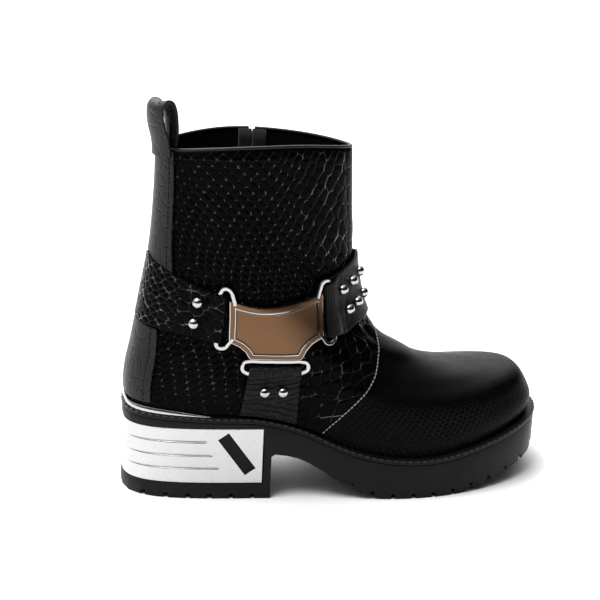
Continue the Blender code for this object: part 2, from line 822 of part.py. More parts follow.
def make_heel_strap(material):
    """Strap from the inner side round the back to the plate, folded round its bar."""
    bar = bar_points(-1)
    heights = STRAP_LOW + (STRAP_TOP - STRAP_LOW) * ACROSS
    starts = [place(62.0, z, side=1)[0] - 2 for z in heights]
    middle_u = bar[2][0]
    rows = []
    for share in np.linspace(0, 1, 27)[:-3]:
        line = []
        for w, start, (u, t) in zip(ACROSS, starts, bar):
            here = start + (u - start) * share
            low, high = strap_heights(here, middle_u)
            line.append(skin(here, t_at(here % 2, low + (high - low) * w), STRAP_LIFT))
        rows.append(line)
    return band("heel_strap", rows + fold_rows(-1, strap_heights, HEEL_FOLD), STRAP_THICK, material)


def instep_heights(u, bar_u):
    """Lower and upper edge of the instep strap at share u, highest on the front line."""
    share = np.clip(1 - np.abs(1 - u) / (1 - bar_u), 0, 1) ** 0.8
    return STRAP_LOW + (105.0 - STRAP_LOW) * share, STRAP_TOP + (141.0 - STRAP_TOP) * share


def make_instep_strap(material):
    """Strap from the plate's front bar over the instep to the inner side."""
    bar = bar_points(1)
    heights = STRAP_LOW + (STRAP_TOP - STRAP_LOW) * ACROSS
    stops = [place(94.0, z, side=1)[0] for z in heights]
    middle_u = bar[2][0]
    rows = []
    for share in np.linspace(0, 1, 25)[3:]:
        line = []
        for w, stop, (u, t) in zip(ACROSS, stops, bar):
            here = u + (stop - u) * share
            low, high = instep_heights(here, middle_u)
            line.append(skin(here, t_at(here, low + (high - low) * w), INSTEP_LIFT))
        rows.append(line)
    fold = fold_rows(1, instep_heights, INSTEP_FOLD)[::-1]
    return band("instep_strap", fold + rows, STRAP_THICK, material)


def under_point(w, z, lift):
    """A point of the under strap: share w across it at height z."""
    back = np.interp(z, (46, 80), (62.0, 67.4))
    front = np.interp(z, (46, 80), (96.5, 97.2))
    u, t = place(back + (front - back) * w, z)
    return skin(u, t, lift)


def make_under_strap(material):
    """Strap from the plate's lower bar down to the welt."""
    bar_z = PLATE_Z + LOWER_LOOP[6].up
    foot = [[under_foot(w) for w in ACROSS]]
    lower = [[under_point(w, z, STRAP_LIFT) for w in ACROSS] for z in (56.0, 63.0)]
    path = list(FOLD) + [Fold(-15.0, 3.0), Fold(-19.0, 3.0)]
    fold = [[under_point(w, bar_z + row.ahead, row.lift) for w in ACROSS] for row in path]
    return band("under_strap", foot + lower + fold, STRAP_THICK, material)


def under_foot(w):
    """Lower end of the under strap, just above the welt."""
    u = place(62.5 + 34.0 * w, 54.0)[0]
    return skin(u, 0.012, STRAP_LIFT)


# Metal of the harness


def plate_point(across, up, lift):
    """A point over the outer side, measured from the middle of the harness plate."""
    u, t = place(PLATE_X + across, PLATE_Z + up)
    return skin(u, t, lift)


def bar_loop(name, path):
    """A square bar along a path of plate points."""
    line = np.array([(row.across, row.up) for row in path])
    along = np.gradient(line, axis=0)
    along /= np.linalg.norm(along, axis=1, keepdims=True)
    cross = np.stack([along[:, 1], -along[:, 0]], axis=1) * BAR / 2
    loops = []
    for here, off in zip(line, cross):
        low, high = BAR_LIFT, BAR_LIFT + BAR
        corners = ((here - off, low), (here - off, high), (here + off, high), (here + off, low))
        loops.append([plate_point(*spot, lift) for spot, lift in corners])
    return loft(name, loops, None)


def make_harness_plate(material):
    """The cast plate: a body with hollow sides and three loops that carry the straps."""
    edges = [row._replace(across=-row.across) for row in PLATE_BODY[:0:-1]] + list(PLATE_BODY)
    grid = []
    for row in edges:
        rise = np.linspace(row.low, row.high, 5)
        grid.append([plate_point(row.across, up, BAR_LIFT + BAR / 2) for up in rise])
    plate = band("harness_plate", grid, BAR - 0.2, material)
    mirrored = [row._replace(across=-row.across) for row in SIDE_LOOP]
    for name, path in (("front_loop", SIDE_LOOP), ("back_loop", mirrored), ("lower_loop", LOWER_LOOP)):
        combine(plate, bar_loop(name, path), "UNION")
    return plate


def make_stud(name, point, normal, material):
    """A domed stud standing on a point along a normal."""
    normal = np.asarray(normal) / np.linalg.norm(normal)
    right = np.cross(normal, (0, 0, 1.0))
    right /= np.linalg.norm(right)
    ahead = np.cross(normal, right)
    turn = (np.arange(10) + 0.5) / 10 * 2 * math.pi
    loops = []
    for wide, high in ((1.0, 0.0), (0.97, 0.3), (0.74, 0.78), (0.28, 1.0)):
        ring = np.outer(np.cos(turn), right) + np.outer(np.sin(turn), ahead)
        loops.append(point + ring * STUD_RADIUS * wide + normal * STUD_HEIGHT * high)
    return loft(name, loops, material)


def stud_spot(u, z, lift):
    """Point and normal for a stud on a strap."""
    t = t_at(u % 2, z)
    low, high = skin(u, t, lift), skin(u, t, lift + 1)
    return low, high - low


def make_studs(material):
    """Studs on the three straps."""
    spots = []
    double = 3.0 + STRAP_THICK / 2 + GAP
    single = INSTEP_LIFT + STRAP_THICK / 2 + GAP
    for name, x, z in (("stud_heel_1", 38.5, 120.5), ("stud_heel_2", 36.5, 108.5)):
        spots.append((name, *stud_spot(place(x, z)[0], z, double)))
    for name, x in (("stud_under_1", 76.6), ("stud_under_2", 87.2)):
        spots.append((name, *stud_spot(place(x, 67.6)[0], 67.6, double)))
    bar_u = bar_points(1)[2][0]
    first = place(STUD_FIRST, 113.0)[0]
    pitch = np.linalg.norm(skin(1.0, 0.74) - skin(0.96, 0.74)) / 0.04
    for k in range(INSTEP_STUD_PAIRS):
        u = first + k * STUD_SPACING / pitch
        low, high = instep_heights(u, bar_u)
        for row, share in STUD_SHARES:
            lift = double if k == 0 else single
            spots.append((f"stud_instep_{row}_{k + 1}", *stud_spot(u, low + (high - low) * share, lift)))
    return [make_stud(name, point, normal, material) for name, point, normal in spots]


# Zip


def zip_frame():
    """Matrix of the slider: x across the zip, y up along it, z outwards."""
    u, t = place(ZIP_X, SLIDER_Z, side=1)
    low, high = skin(u, t - 0.03), skin(u, t + 0.03)
    up = (high - low) / np.linalg.norm(high - low)
    out = skin(u, t, 1.0) - skin(u, t)
    right = np.cross(up, out)
    right /= np.linalg.norm(right)
    return frame_matrix(skin(u, t), right, up, np.cross(right, up))


def local(matrix, across, up, out):
    """The matrix of a block set off from the slider's frame."""
    return matrix @ frame_matrix((across, up, out), (1, 0, 0), (0, 1, 0), (0, 0, 1))


def make_zip(tape_material, metal):
    """Tape with its chain behind the slit, and the slider near the collar with its pull."""
    low = t_at(zip_share(ZIP_LOW - 6), ZIP_LOW - 6)
    floor, sheet, chain = -WALL - GAP - 1.0, -WALL - GAP, -0.5
    across = (-ZIP_TAPE_HALF, -ZIP_TAPE_HALF, -ZIP_CHAIN_HALF, -ZIP_CHAIN_HALF)
    rises = (floor, sheet, sheet + 0.02, chain)
    across = np.array(across + tuple(-a for a in across[::-1]))
    lifts = np.array(rises + rises[::-1])
    inside = t_at(zip_share(ZIP_LOW + 1), ZIP_LOW + 1)
    loops = []
    for t in (low, inside - 0.004, inside, *np.linspace(inside, 0.99, 14)[1:]):
        here = np.where(lifts == chain, sheet + 0.04 if t < inside else chain, lifts)
        loops.append(zip_points(t, across, here))
    tape = loft("zip_tape", loops, tape_material)

    place_at = zip_frame()
    slider = box("zip_slider", (6.2, 10.0, 2.6), local(place_at, 0, 0, 1.1), metal)
    for side in (-1, 1):
        ear = box(f"ear_{side + 2}", (0.9, 3.6, 5.0), local(place_at, side * 2.5, 2.0, 3.8))
        combine(slider, ear, "UNION")
    lying = place_at @ frame_matrix((0, 2.0, PIN_LIFT), (0, 0, -1), (0, 1, 0), (1, 0, 0))
    combine(slider, rod("pin", 0.8, 5.0, lying), "UNION")

    pull = rod("zip_pull", 1.9, 3.4, lying, metal)
    neck = box("neck", (3.4, 5.0, 1.4), local(place_at, 0, -1.6, PIN_LIFT))
    middle = 2.0 - (PULL_LENGTH + 5.0) / 2
    tab = box("tab", (7.0, PULL_LENGTH - 5.0, 1.3), local(place_at, 0, middle, PIN_LIFT))
    combine(pull, neck, "UNION")
    combine(pull, tab, "UNION")
    combine(pull, rod("eye", 1.15, 6.0, lying), "DIFFERENCE")
    return tape, slider, pull


def centre_on_footprint():
    """Move every mesh so that the middle of the boot's plan is the origin."""
    shown = [thing for thing in bpy.data.objects if not thing.hide_render]
    plan = np.array([vert.co[:2] for thing in shown for vert in thing.data.vertices])
    middle = (plan.min(axis=0) + plan.max(axis=0)) / 2
    for thing in bpy.data.objects:
        thing.data.transform(Matrix.Translation((-middle[0], -middle[1], 0)))
    return middle


def set_origin(thing, point):
    """Give an object its origin at a point without moving its mesh."""
    thing.data.transform(Matrix.Translation(-point))
    thing.location = point


def main():
    """Build every piece and centre the boot on its footprint."""
    for thing in list(bpy.data.objects):
        bpy.data.objects.remove(thing, do_unlink=True)
    leather = make_material("embossed_leather", (0.012, 0.012, 0.013), 0.28)
    strap = make_material("strap_leather", (0.016, 0.016, 0.017), 0.35)
    strip = make_material("back_strip_leather", (0.05, 0.05, 0.052), 0.4)
    rubber = make_material("sole_rubber", (0.02, 0.02, 0.021), 0.6)
    welt = make_material("welt_rubber", (0.015, 0.015, 0.016), 0.55)
    chrome = make_material("bright_metal", (0.78, 0.78, 0.8), 0.12, 1.0)
    plate = make_material("plate_metal", (0.6, 0.45, 0.35), 0.2, 1.0)
    cloth = make_material("zip_cloth", (0.01, 0.01, 0.01), 0.8)
    board = make_material("insole_leather", (0.03, 0.03, 0.03), 0.7)

    make_outsole(rubber)
    slab("welt", sole_out() + WELT_LIP, -WELT_THICK - GAP, -GAP, welt)
    slab("insole", -INSOLE_IN, 0.2, 0.2 + INSOLE_THICK, board)
    make_heel_plate(chrome)
    make_heel_rim(chrome)
    make_upper(leather)
    make_back_strips(strip)
    make_pull_loop(strip)
    make_heel_strap(strap)
    make_instep_strap(strap)
    make_under_strap(strap)
    make_harness_plate(plate)
    make_studs(chrome)
    _, _, pull = make_zip(cloth, chrome)
    middle = centre_on_footprint()
    pin = (zip_frame() @ np.array([0, 2.0, PIN_LIFT, 1.0]))[:3] * MM
    set_origin(pull, Vector((pin[0] - middle[0], pin[1] - middle[1], pin[2])))


if __name__ == "__main__":
    main()
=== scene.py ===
"""Looks of a right harness ankle boot: leather, metal, rubber and thread over its solids.

Sizes are in millimetres in the boot's own frame, x from the heel to the toe, y from the outer to the
inner side and z up from the floor.  They become metres in the row frame when a mesh is made.
"""

import json
import logging
import math
from collections.abc import Callable, Iterable, Sequence
from dataclasses import dataclass, field
from enum import Enum
from typing import Any, NamedTuple

import bmesh
import bpy
import numpy as np
from mathutils import Matrix, Vector

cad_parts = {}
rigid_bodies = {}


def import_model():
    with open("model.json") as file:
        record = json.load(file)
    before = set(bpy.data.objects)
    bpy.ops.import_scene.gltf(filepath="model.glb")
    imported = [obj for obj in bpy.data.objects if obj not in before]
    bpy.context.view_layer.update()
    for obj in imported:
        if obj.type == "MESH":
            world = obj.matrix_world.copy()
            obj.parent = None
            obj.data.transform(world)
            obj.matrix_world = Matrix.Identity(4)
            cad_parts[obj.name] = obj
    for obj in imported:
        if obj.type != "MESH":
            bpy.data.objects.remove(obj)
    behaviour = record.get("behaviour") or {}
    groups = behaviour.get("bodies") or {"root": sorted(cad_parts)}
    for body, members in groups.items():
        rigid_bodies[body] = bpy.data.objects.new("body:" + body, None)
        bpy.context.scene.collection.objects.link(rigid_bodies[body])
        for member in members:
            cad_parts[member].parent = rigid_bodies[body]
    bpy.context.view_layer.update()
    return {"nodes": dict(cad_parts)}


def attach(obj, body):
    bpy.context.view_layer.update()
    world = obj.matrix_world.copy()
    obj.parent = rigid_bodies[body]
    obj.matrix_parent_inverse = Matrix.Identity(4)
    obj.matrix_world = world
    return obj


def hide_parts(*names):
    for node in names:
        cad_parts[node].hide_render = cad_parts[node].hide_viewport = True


LOG = logging.getLogger("boot")
MM = 0.001
SHIFT = np.array([-129.3257, 2.2929, 0.0])
BODY = "boot"
Array = np.ndarray
Mesh = bmesh.types.BMesh
Material = bpy.types.Material
Socket = bpy.types.NodeSocket
Sockets = bpy.types.bpy_prop_collection
Thing = bpy.types.Object
Nodes = dict[str, Thing]
Colour = tuple[float, float, float]
Heights = Callable[[float, float], tuple[float, float]]


class Feather(NamedTuple):
    """Height of the line where the upper meets the sole."""

    x: float
    z: float


class Section(NamedTuple):
    """One section of the upper, from its back point to its front point."""

    t: float
    x_back: float
    z_back: float
    x_front: float
    z_front: float
    heel_out: float
    waist_out: float
    ball_out: float
    heel_in: float
    waist_in: float
    ball_in: float
    n_back: float
    n_front: float
    follow: float
    crown: float


class Spot(NamedTuple):
    """A place on the harness plate, across and up from its middle."""

    across: float
    up: float


class PlateEdge(NamedTuple):
    """Lower and upper edge of the harness plate at a distance from its middle."""

    across: float
    low: float
    high: float


class PlateStep(NamedTuple):
    """A corner of the plate's edge profile, in from its outline and up from its back."""

    inset: float
    high: float


class RimCorner(NamedTuple):
    """A corner of the rim strip's section, out from the feather line and up as a share of its height."""

    out: float
    high: float


class Fold(NamedTuple):
    """A place on a strap's end round its bar: ahead towards the window, lift off the leather."""

    ahead: float
    lift: float


class LoopPath(NamedTuple):
    """A place on the pull loop: how far its row bows and how far it has turned to the inside."""

    x: float
    z: float
    bend: float
    turn: float


class Lamp(NamedTuple):
    """A soft distant lamp: its strength, how wide it looks in degrees and the way towards it."""

    name: str
    strength: float
    wide: float
    towards: tuple[float, float, float]


class Crease(NamedTuple):
    """A soft trough (negative depth) or ridge between two places, each a length and a height."""

    x_from: float
    z_from: float
    x_to: float
    z_to: float
    depth: float
    width: float


FEATHER = tuple(Feather(*row) for row in (
    (0, 53.0), (44, 51.0), (78, 49.5), (100, 43.5), (122, 33.5), (140, 27.5), (160, 24.5),
    (182, 24.5), (204, 28.0), (225, 32.5), (245, 37.5), (264, 42.0),
))

SECTIONS = (
    Section(0.00, 2.0, 53, 255, 40.5, 33.0, 37.5, 49.0, 31.0, 29.0, 42.0, 3.0, 2.8, 1.0, 0.0),
    Section(0.08, 1.5, 64, 256, 48, 33.5, 37.5, 50.0, 32.0, 30.0, 43.5, 3.0, 2.8, 1.0, 0.0),
    Section(0.16, 2.5, 75, 252.5, 56.0, 33.5, 37.0, 49.0, 32.0, 30.5, 43.0, 2.9, 2.7, 0.9, 0.0),
    Section(0.24, 5.0, 87, 246.0, 63.6, 33.0, 36.0, 46.0, 31.5, 31.0, 38.3, 2.8, 2.57, 0.75, 0.0),
    Section(0.32, 7.0, 98, 231, 64.8, 32.0, 35.0, 40.0, 31.0, 31.0, 30.0, 2.7, 2.2, 0.6, 0.0),
    Section(0.41, 9.0, 109, 205.5, 66.6, 31.5, 34.5, 36.4, 30.5, 31.0, 27.2, 2.6, 2.06, 0.45, 0.0),
    Section(0.50, 11.0, 120, 184.5, 71.6, 31.0, 34.0, 33.5, 30.5, 31.5, 28.4, 2.6, 2.1, 0.3, 0.0),
    Section(0.58, 13.0, 131, 173, 78.0, 30.5, 33.5, 31.5, 30.0, 31.5, 29.5, 2.5, 2.15, 0.2, 0.0),
    Section(0.66, 14.8, 142, 157, 88, 30.0, 33.0, 30.0, 29.5, 31.5, 29.0, 2.4, 2.1, 0.1, 0.0),
    Section(0.74, 16.2, 154, 144.5, 104, 29.5, 32.0, 28.5, 29.0, 31.0, 27.5, 2.4, 2.0, 0.0, 0.0),
    Section(0.82, 17.2, 168, 137.5, 127, 29.0, 31.0, 27.5, 28.5, 30.0, 27.0, 2.3, 1.9, 0.0, 0.5),
    Section(0.91, 18.0, 185, 134, 160, 28.5, 29.5, 26.5, 28.0, 29.0, 26.0, 2.2, 1.8, 0.0, 2.0),
    Section(1.00, 18.3, 204, 131.5, 204, 28.5, 29.0, 26.0, 28.0, 29.0, 25.5, 2.2, 1.7, 0.0, 5.0),
)

# Seam where the quarters lap over the vamp: heights and lengths
SEAM_Z = (20, 38, 48, 58, 69, 82, 94, 104, 125)
SEAM_X = (92, 111, 121, 131, 141, 148, 150, 147, 140)


def through(knots: Sequence[float], values: Sequence[float], at: Any) -> Array:
    """Read a smooth curve through points.

    Args:
        knots: Places of the points, rising.
        values: Values at those places.
        at: Places to read.

    Returns:
        The curve's values.
    """
    knots = np.asarray(knots, float)
    values = np.asarray(values, float)
    slopes = np.gradient(values, knots)
    at = np.clip(at, knots[0], knots[-1])
    k = np.clip(np.searchsorted(knots, at) - 1, 0, len(knots) - 2)
    span = knots[k + 1] - knots[k]
    f = (at - knots[k]) / span
    rise = values[k + 1] - values[k]
    bend_in = slopes[k] * span - rise
    bend_out = -slopes[k + 1] * span + rise
    return values[k] + f * rise + f * (1 - f) * ((1 - f) * bend_in + f * bend_out)


def ease(share: Any) -> Array:
    """A smooth step from 0 to 1."""
    share = np.clip(share, 0, 1)
    return share * share * (3 - 2 * share)


def lengths(points: Array, axis: int) -> Array:
    """Distance along a grid of points from its first row or column.

    Args:
        points: Grid of points.
        axis: 0 to run along the rows' index, 1 along the columns'.

    Returns:
        A grid of distances.
    """
    steps = np.linalg.norm(np.diff(points, axis=axis), axis=2)
    zero = np.zeros_like(np.take(steps, [0], axis=axis))
    return np.cumsum(np.concatenate([zero, steps], axis=axis), axis=axis)


def unit(vectors: Array) -> Array:
    """Vectors of length 1."""
    return vectors / np.linalg.norm(vectors, axis=-1, keepdims=True)


def distance_along(path: Array) -> Array:
    """Distance along a path of points from its first one."""
    return np.concatenate([[0], np.cumsum(np.linalg.norm(np.diff(path, axis=0), axis=1))])


def read_path(at: Any, run: Array, path: Array) -> Array:
    """Points of a path at distances along it.

    Args:
        at: Distances to read.
        run: Distance of each of the path's own points.
        path: The path's points.

    Returns:
        Points, or one point for one distance.
    """
    return np.stack([np.interp(at, run, column) for column in path.T], axis=-1)


def across_rows(rows: Array, shares: Array) -> Array:
    """Read a smooth curve through each row of points.

    Args:
        rows: Rows of points, along by across.
        shares: Shares of the way across to read.

    Returns:
        Grid of points, along by across.
    """
    knots = np.linspace(0, 1, rows.shape[1])
    return np.stack([np.stack([through(knots, axis, shares) for axis in row.T], axis=1) for row in rows])


def to_frame(point: Array) -> Vector:
    """A point in millimetres of the boot as metres of the row frame."""
    return Vector((point + SHIFT) * MM)


def seat(spot: Vector, axes: Sequence[Vector], sizes: Sequence[float]) -> Matrix:
    """Matrix that puts a unit shape at a spot.

    Args:
        spot: The shape's middle in metres.
        axes: Its three directions.
        sizes: Its three sizes in millimetres.

    Returns:
        The matrix.
    """
    turned = Matrix([axis * (size * MM) for axis, size in zip(axes, sizes)]).transposed().to_4x4()
    return Matrix.Translation(spot) @ turned


def resample(points: Array, count: int) -> Array:
    """Spread points evenly along a smooth curve through the given ones.

    Args:
        points: Points of the path, or rows of points that move together.
        count: How many to return.

    Returns:
        Evenly spaced points or rows.
    """
    points = np.asarray(points, float)
    flat = points.reshape(len(points), -1)
    middle = points if points.ndim == 2 else points[:, points.shape[1] // 2]
    run = distance_along(middle)
    at = np.linspace(0, run[-1], count)
    made = np.stack([through(run, flat[:, k], at) for k in range(flat.shape[1])], axis=1)
    return made.reshape((count,) + points.shape[1:])


def soften(grid: Array, passes: int) -> Array:
    """Average every point with its neighbours, edges held.

    Args:
        grid: Points, rows by columns.
        passes: How often.

    Returns:
        Softer points.
    """
    out = grid.copy()
    for _ in range(passes):
        out[1:-1] = (out[:-2] + 2 * out[1:-1] + out[2:]) / 4
        out[:, 1:-1] = (out[:, :-2] + 2 * out[:, 1:-1] + out[:, 2:]) / 4
    return out


class Side(Enum):
    """The two sides of the boot, by the sign of y."""

    OUTER = -1
    INNER = 1


@dataclass
class Last:
    """The boot's outer face, read at u round it (0 back, 1 front, outer side between) and t up it."""

    columns: int = 180
    rows: int = 120
    toe_swing: float = 7.0
    swing_start: float = 120.0
    length: float = 268.0
    sole_reach: float = 2.6
    sole_extra: float = 1.6
    extra_start: float = 90.0
    extra_span: float = 40.0
    points: Array = field(init=False)
    normals: Array = field(init=False)
    climb: Array = field(init=False)

    def __post_init__(self) -> None:
        """Work out the lattice of points and its outward normals."""
        made = []
        for t in np.linspace(0, 1, self.rows + 1):
            outer, inner = self.half(t, Side.OUTER), self.half(t, Side.INNER)
            made.append(np.concatenate([outer[:-1], inner[:0:-1]]))
        self.points = np.stack(made)
        along = np.roll(self.points, -1, axis=1) - np.roll(self.points, 1, axis=1)
        normals = np.cross(along, np.gradient(self.points, axis=0))
        self.normals = unit(normals)
        self.climb = np.maximum.accumulate(self.points[:, :, 2], axis=0)

    def feather(self, x: Any) -> Array:
        """Height of the feather line at length x."""
        return through([row.x for row in FEATHER], [row.z for row in FEATHER], x)

    def half(self, t: float, side: Side) -> Array:
        """Half a section, evenly spaced from the back seam to the front line.

        Args:
            t: Share up the upper.
            side: Which side of the boot.

        Returns:
            Points of the half section.
        """
        names = Section._fields
        knots = [row.t for row in SECTIONS]
        at = {}
        for k, name in enumerate(names[1:], 1):
            at[name] = float(through(knots, [row[k] for row in SECTIONS], t))
        way = "out" if side is Side.OUTER else "in"
        turn = np.linspace(0, math.pi, 721)
        s = (1 - np.cos(turn)) / 2
        x = at["x_back"] + (at["x_front"] - at["x_back"]) * s
        heel, waist, ball = at["heel_" + way], at["waist_" + way], at["ball_" + way]
        width = through((0, 0.15, 0.40, 0.68, 1), (heel, heel, waist, ball, ball), s)
        power = np.where(s < 0.5, at["n_back"], at["n_front"])
        cap = np.maximum(1 - np.abs(np.cos(turn)) ** power, 0) ** (1 / power)
        swing = np.clip((x - self.swing_start) / (self.length - self.swing_start), 0, 1)
        y = side.value * width * cap + self.toe_swing * swing**2
        low, high = self.feather(at["x_back"]), self.feather(at["x_front"])
        z = at["z_back"] + (at["z_front"] - at["z_back"]) * s
        z = z + at["follow"] * (self.feather(x) - low - (high - low) * s)
        z = z + at["crown"] * 4 * s * (1 - s)
        points = np.stack([x, y, z], axis=1)
        run = distance_along(points)
        return read_path(np.linspace(0, run[-1], self.columns + 1), run, points)

    def read(self, grid: Array, u: Any, t: Any) -> Array:
        """Read a lattice of values at shares u and t.

        Args:
            grid: Values on the lattice, with any last axes.
            u: Shares round the upper.
            t: Shares up it.

        Returns:
            The values between the lattice's points.
        """
        u, t = np.broadcast_arrays(np.asarray(u, float), np.asarray(t, float))
        a = (u % 2) * self.columns
        b = np.clip(t, 0, 1) * self.rows
        j = np.floor(a).astype(int) % (2 * self.columns)
        i = np.clip(np.floor(b).astype(int), 0, self.rows - 1)
        more = (1,) * (grid.ndim - 2)
        f = (a - np.floor(a)).reshape(u.shape + more)
        g = (b - i).reshape(u.shape + more)
        k = (j + 1) % (2 * self.columns)
        low = grid[i, j] * (1 - f) + grid[i, k] * f
        high = grid[i + 1, j] * (1 - f) + grid[i + 1, k] * f
        return low * (1 - g) + high * g

    def skin(self, u: Any, t: Any, lift: Any = 0.0) -> Array:
        """Points off the outer face.

        Args:
            u: Shares round the upper.
            t: Shares up it.
            lift: Distance out along the normal.

        Returns:
            Points in millimetres.
        """
        normal = unit(self.read(self.normals, u, t))
        return self.read(self.points, u, t) + np.asarray(lift, float)[..., None] * normal

    def t_at(self, u: float, z: float) -> float:
        """Share t at which the column at u reaches a height.

        Args:
            u: Share round the upper.
            z: The height.

        Returns:
            The share t.
        """
        rows = np.linspace(0, 1, self.rows + 1)
        heights = self.read(self.points, u, rows)[:, 2]
        return float(np.interp(z, np.maximum.accumulate(heights), rows))

    def place(self, x: float, z: float, side: Side = Side.OUTER) -> tuple[float, float]:
        """Shares of the place with length x and height z on one side.

        Args:
            x: Length from the heel.
            z: Height from the floor.
            side: Which side of the boot.

        Returns:
            The shares u and t.
        """
        columns = np.arange(2, self.columns - 1)
        if side is Side.INNER:
            columns = 2 * self.columns - columns
        climb = self.climb[:, columns]
        picked = np.arange(len(columns))
        i = np.clip((climb < z).sum(axis=0) - 1, 0, self.rows - 1)
        rise = np.maximum(climb[i + 1, picked] - climb[i, picked], 1e-9)
        f = np.clip((z - climb[i, picked]) / rise, 0, 1)
        run = self.points[i, columns, 0] * (1 - f) + self.points[i + 1, columns, 0] * f
        u = float(np.interp(x, np.maximum.accumulate(run), columns / self.columns))
        return u, self.t_at(u, z)

    def pitch(self, u: Any, t: Any) -> Array:
        """Millimetres round the upper for a whole share of u.

        Args:
            u: Shares round the upper.
            t: Shares up it.

        Returns:
            The millimetres.
        """
        step = 0.01
        ahead = self.read(self.points, np.asarray(u) + step, t)
        behind = self.read(self.points, np.asarray(u) - step, t)
        return np.linalg.norm(ahead - behind, axis=-1) / (2 * step)

    def seam(self, t: float) -> float:
        """Where the quarter's front edge lies at a share up the upper.

        Args:
            t: Share up the upper.

        Returns:
            The share u, 1 where the quarters meet over the instep.
        """
        columns = np.linspace(0.3, 1, 500)
        row = self.read(self.points, columns, t)
        ahead = row[:, 0] - through(SEAM_Z, SEAM_X, row[:, 2])
        if ahead.max() <= 0:
            return 1.0
        k = max(int(np.argmax(ahead > 0)), 1)
        f = ahead[k] / (ahead[k] - ahead[k - 1])
        return float(columns[k] - f * (columns[k] - columns[k - 1]))

    def outline(self, offset: Any, u: Array) -> Array:
        """Plan of the feather line moved outwards, with its heights.

        Args:
            offset: Distance outwards.
            u: Shares round the boot.

        Returns:
            Points in millimetres.
        """
        base = self.points[0]
        along = unit(np.roll(base, -1, axis=0)[:, :2] - np.roll(base, 1, axis=0)[:, :2])
        ring = np.vstack([base, base[:1]])
        turn = np.vstack([along, along[:1]])
        places = np.arange(2 * self.columns + 1) / self.columns
        x, y, z, ax, ay = (np.interp(u % 2, places, v) for v in (*ring.T, *turn.T))
        return np.stack([x + offset * ay, y - offset * ax, z], axis=1)

    def sole_out(self, u: Array) -> Array:
        """How far the sole stands out beyond the feather line."""
        share = np.clip((self.outline(0.0, u)[:, 0] - self.extra_start) / self.extra_span, 0, 1)
        return self.sole_reach + self.sole_extra * share

    def seams(self, t: Array) -> Array:
        """Shares u of the quarter's front edge at several shares t."""
        return np.array([self.seam(float(v)) for v in t])


LAST = Last()
SEAM_TOP = next(t for t in np.linspace(0.5, 1, 501) if LAST.seam(float(t)) == 1.0)


# Finishes


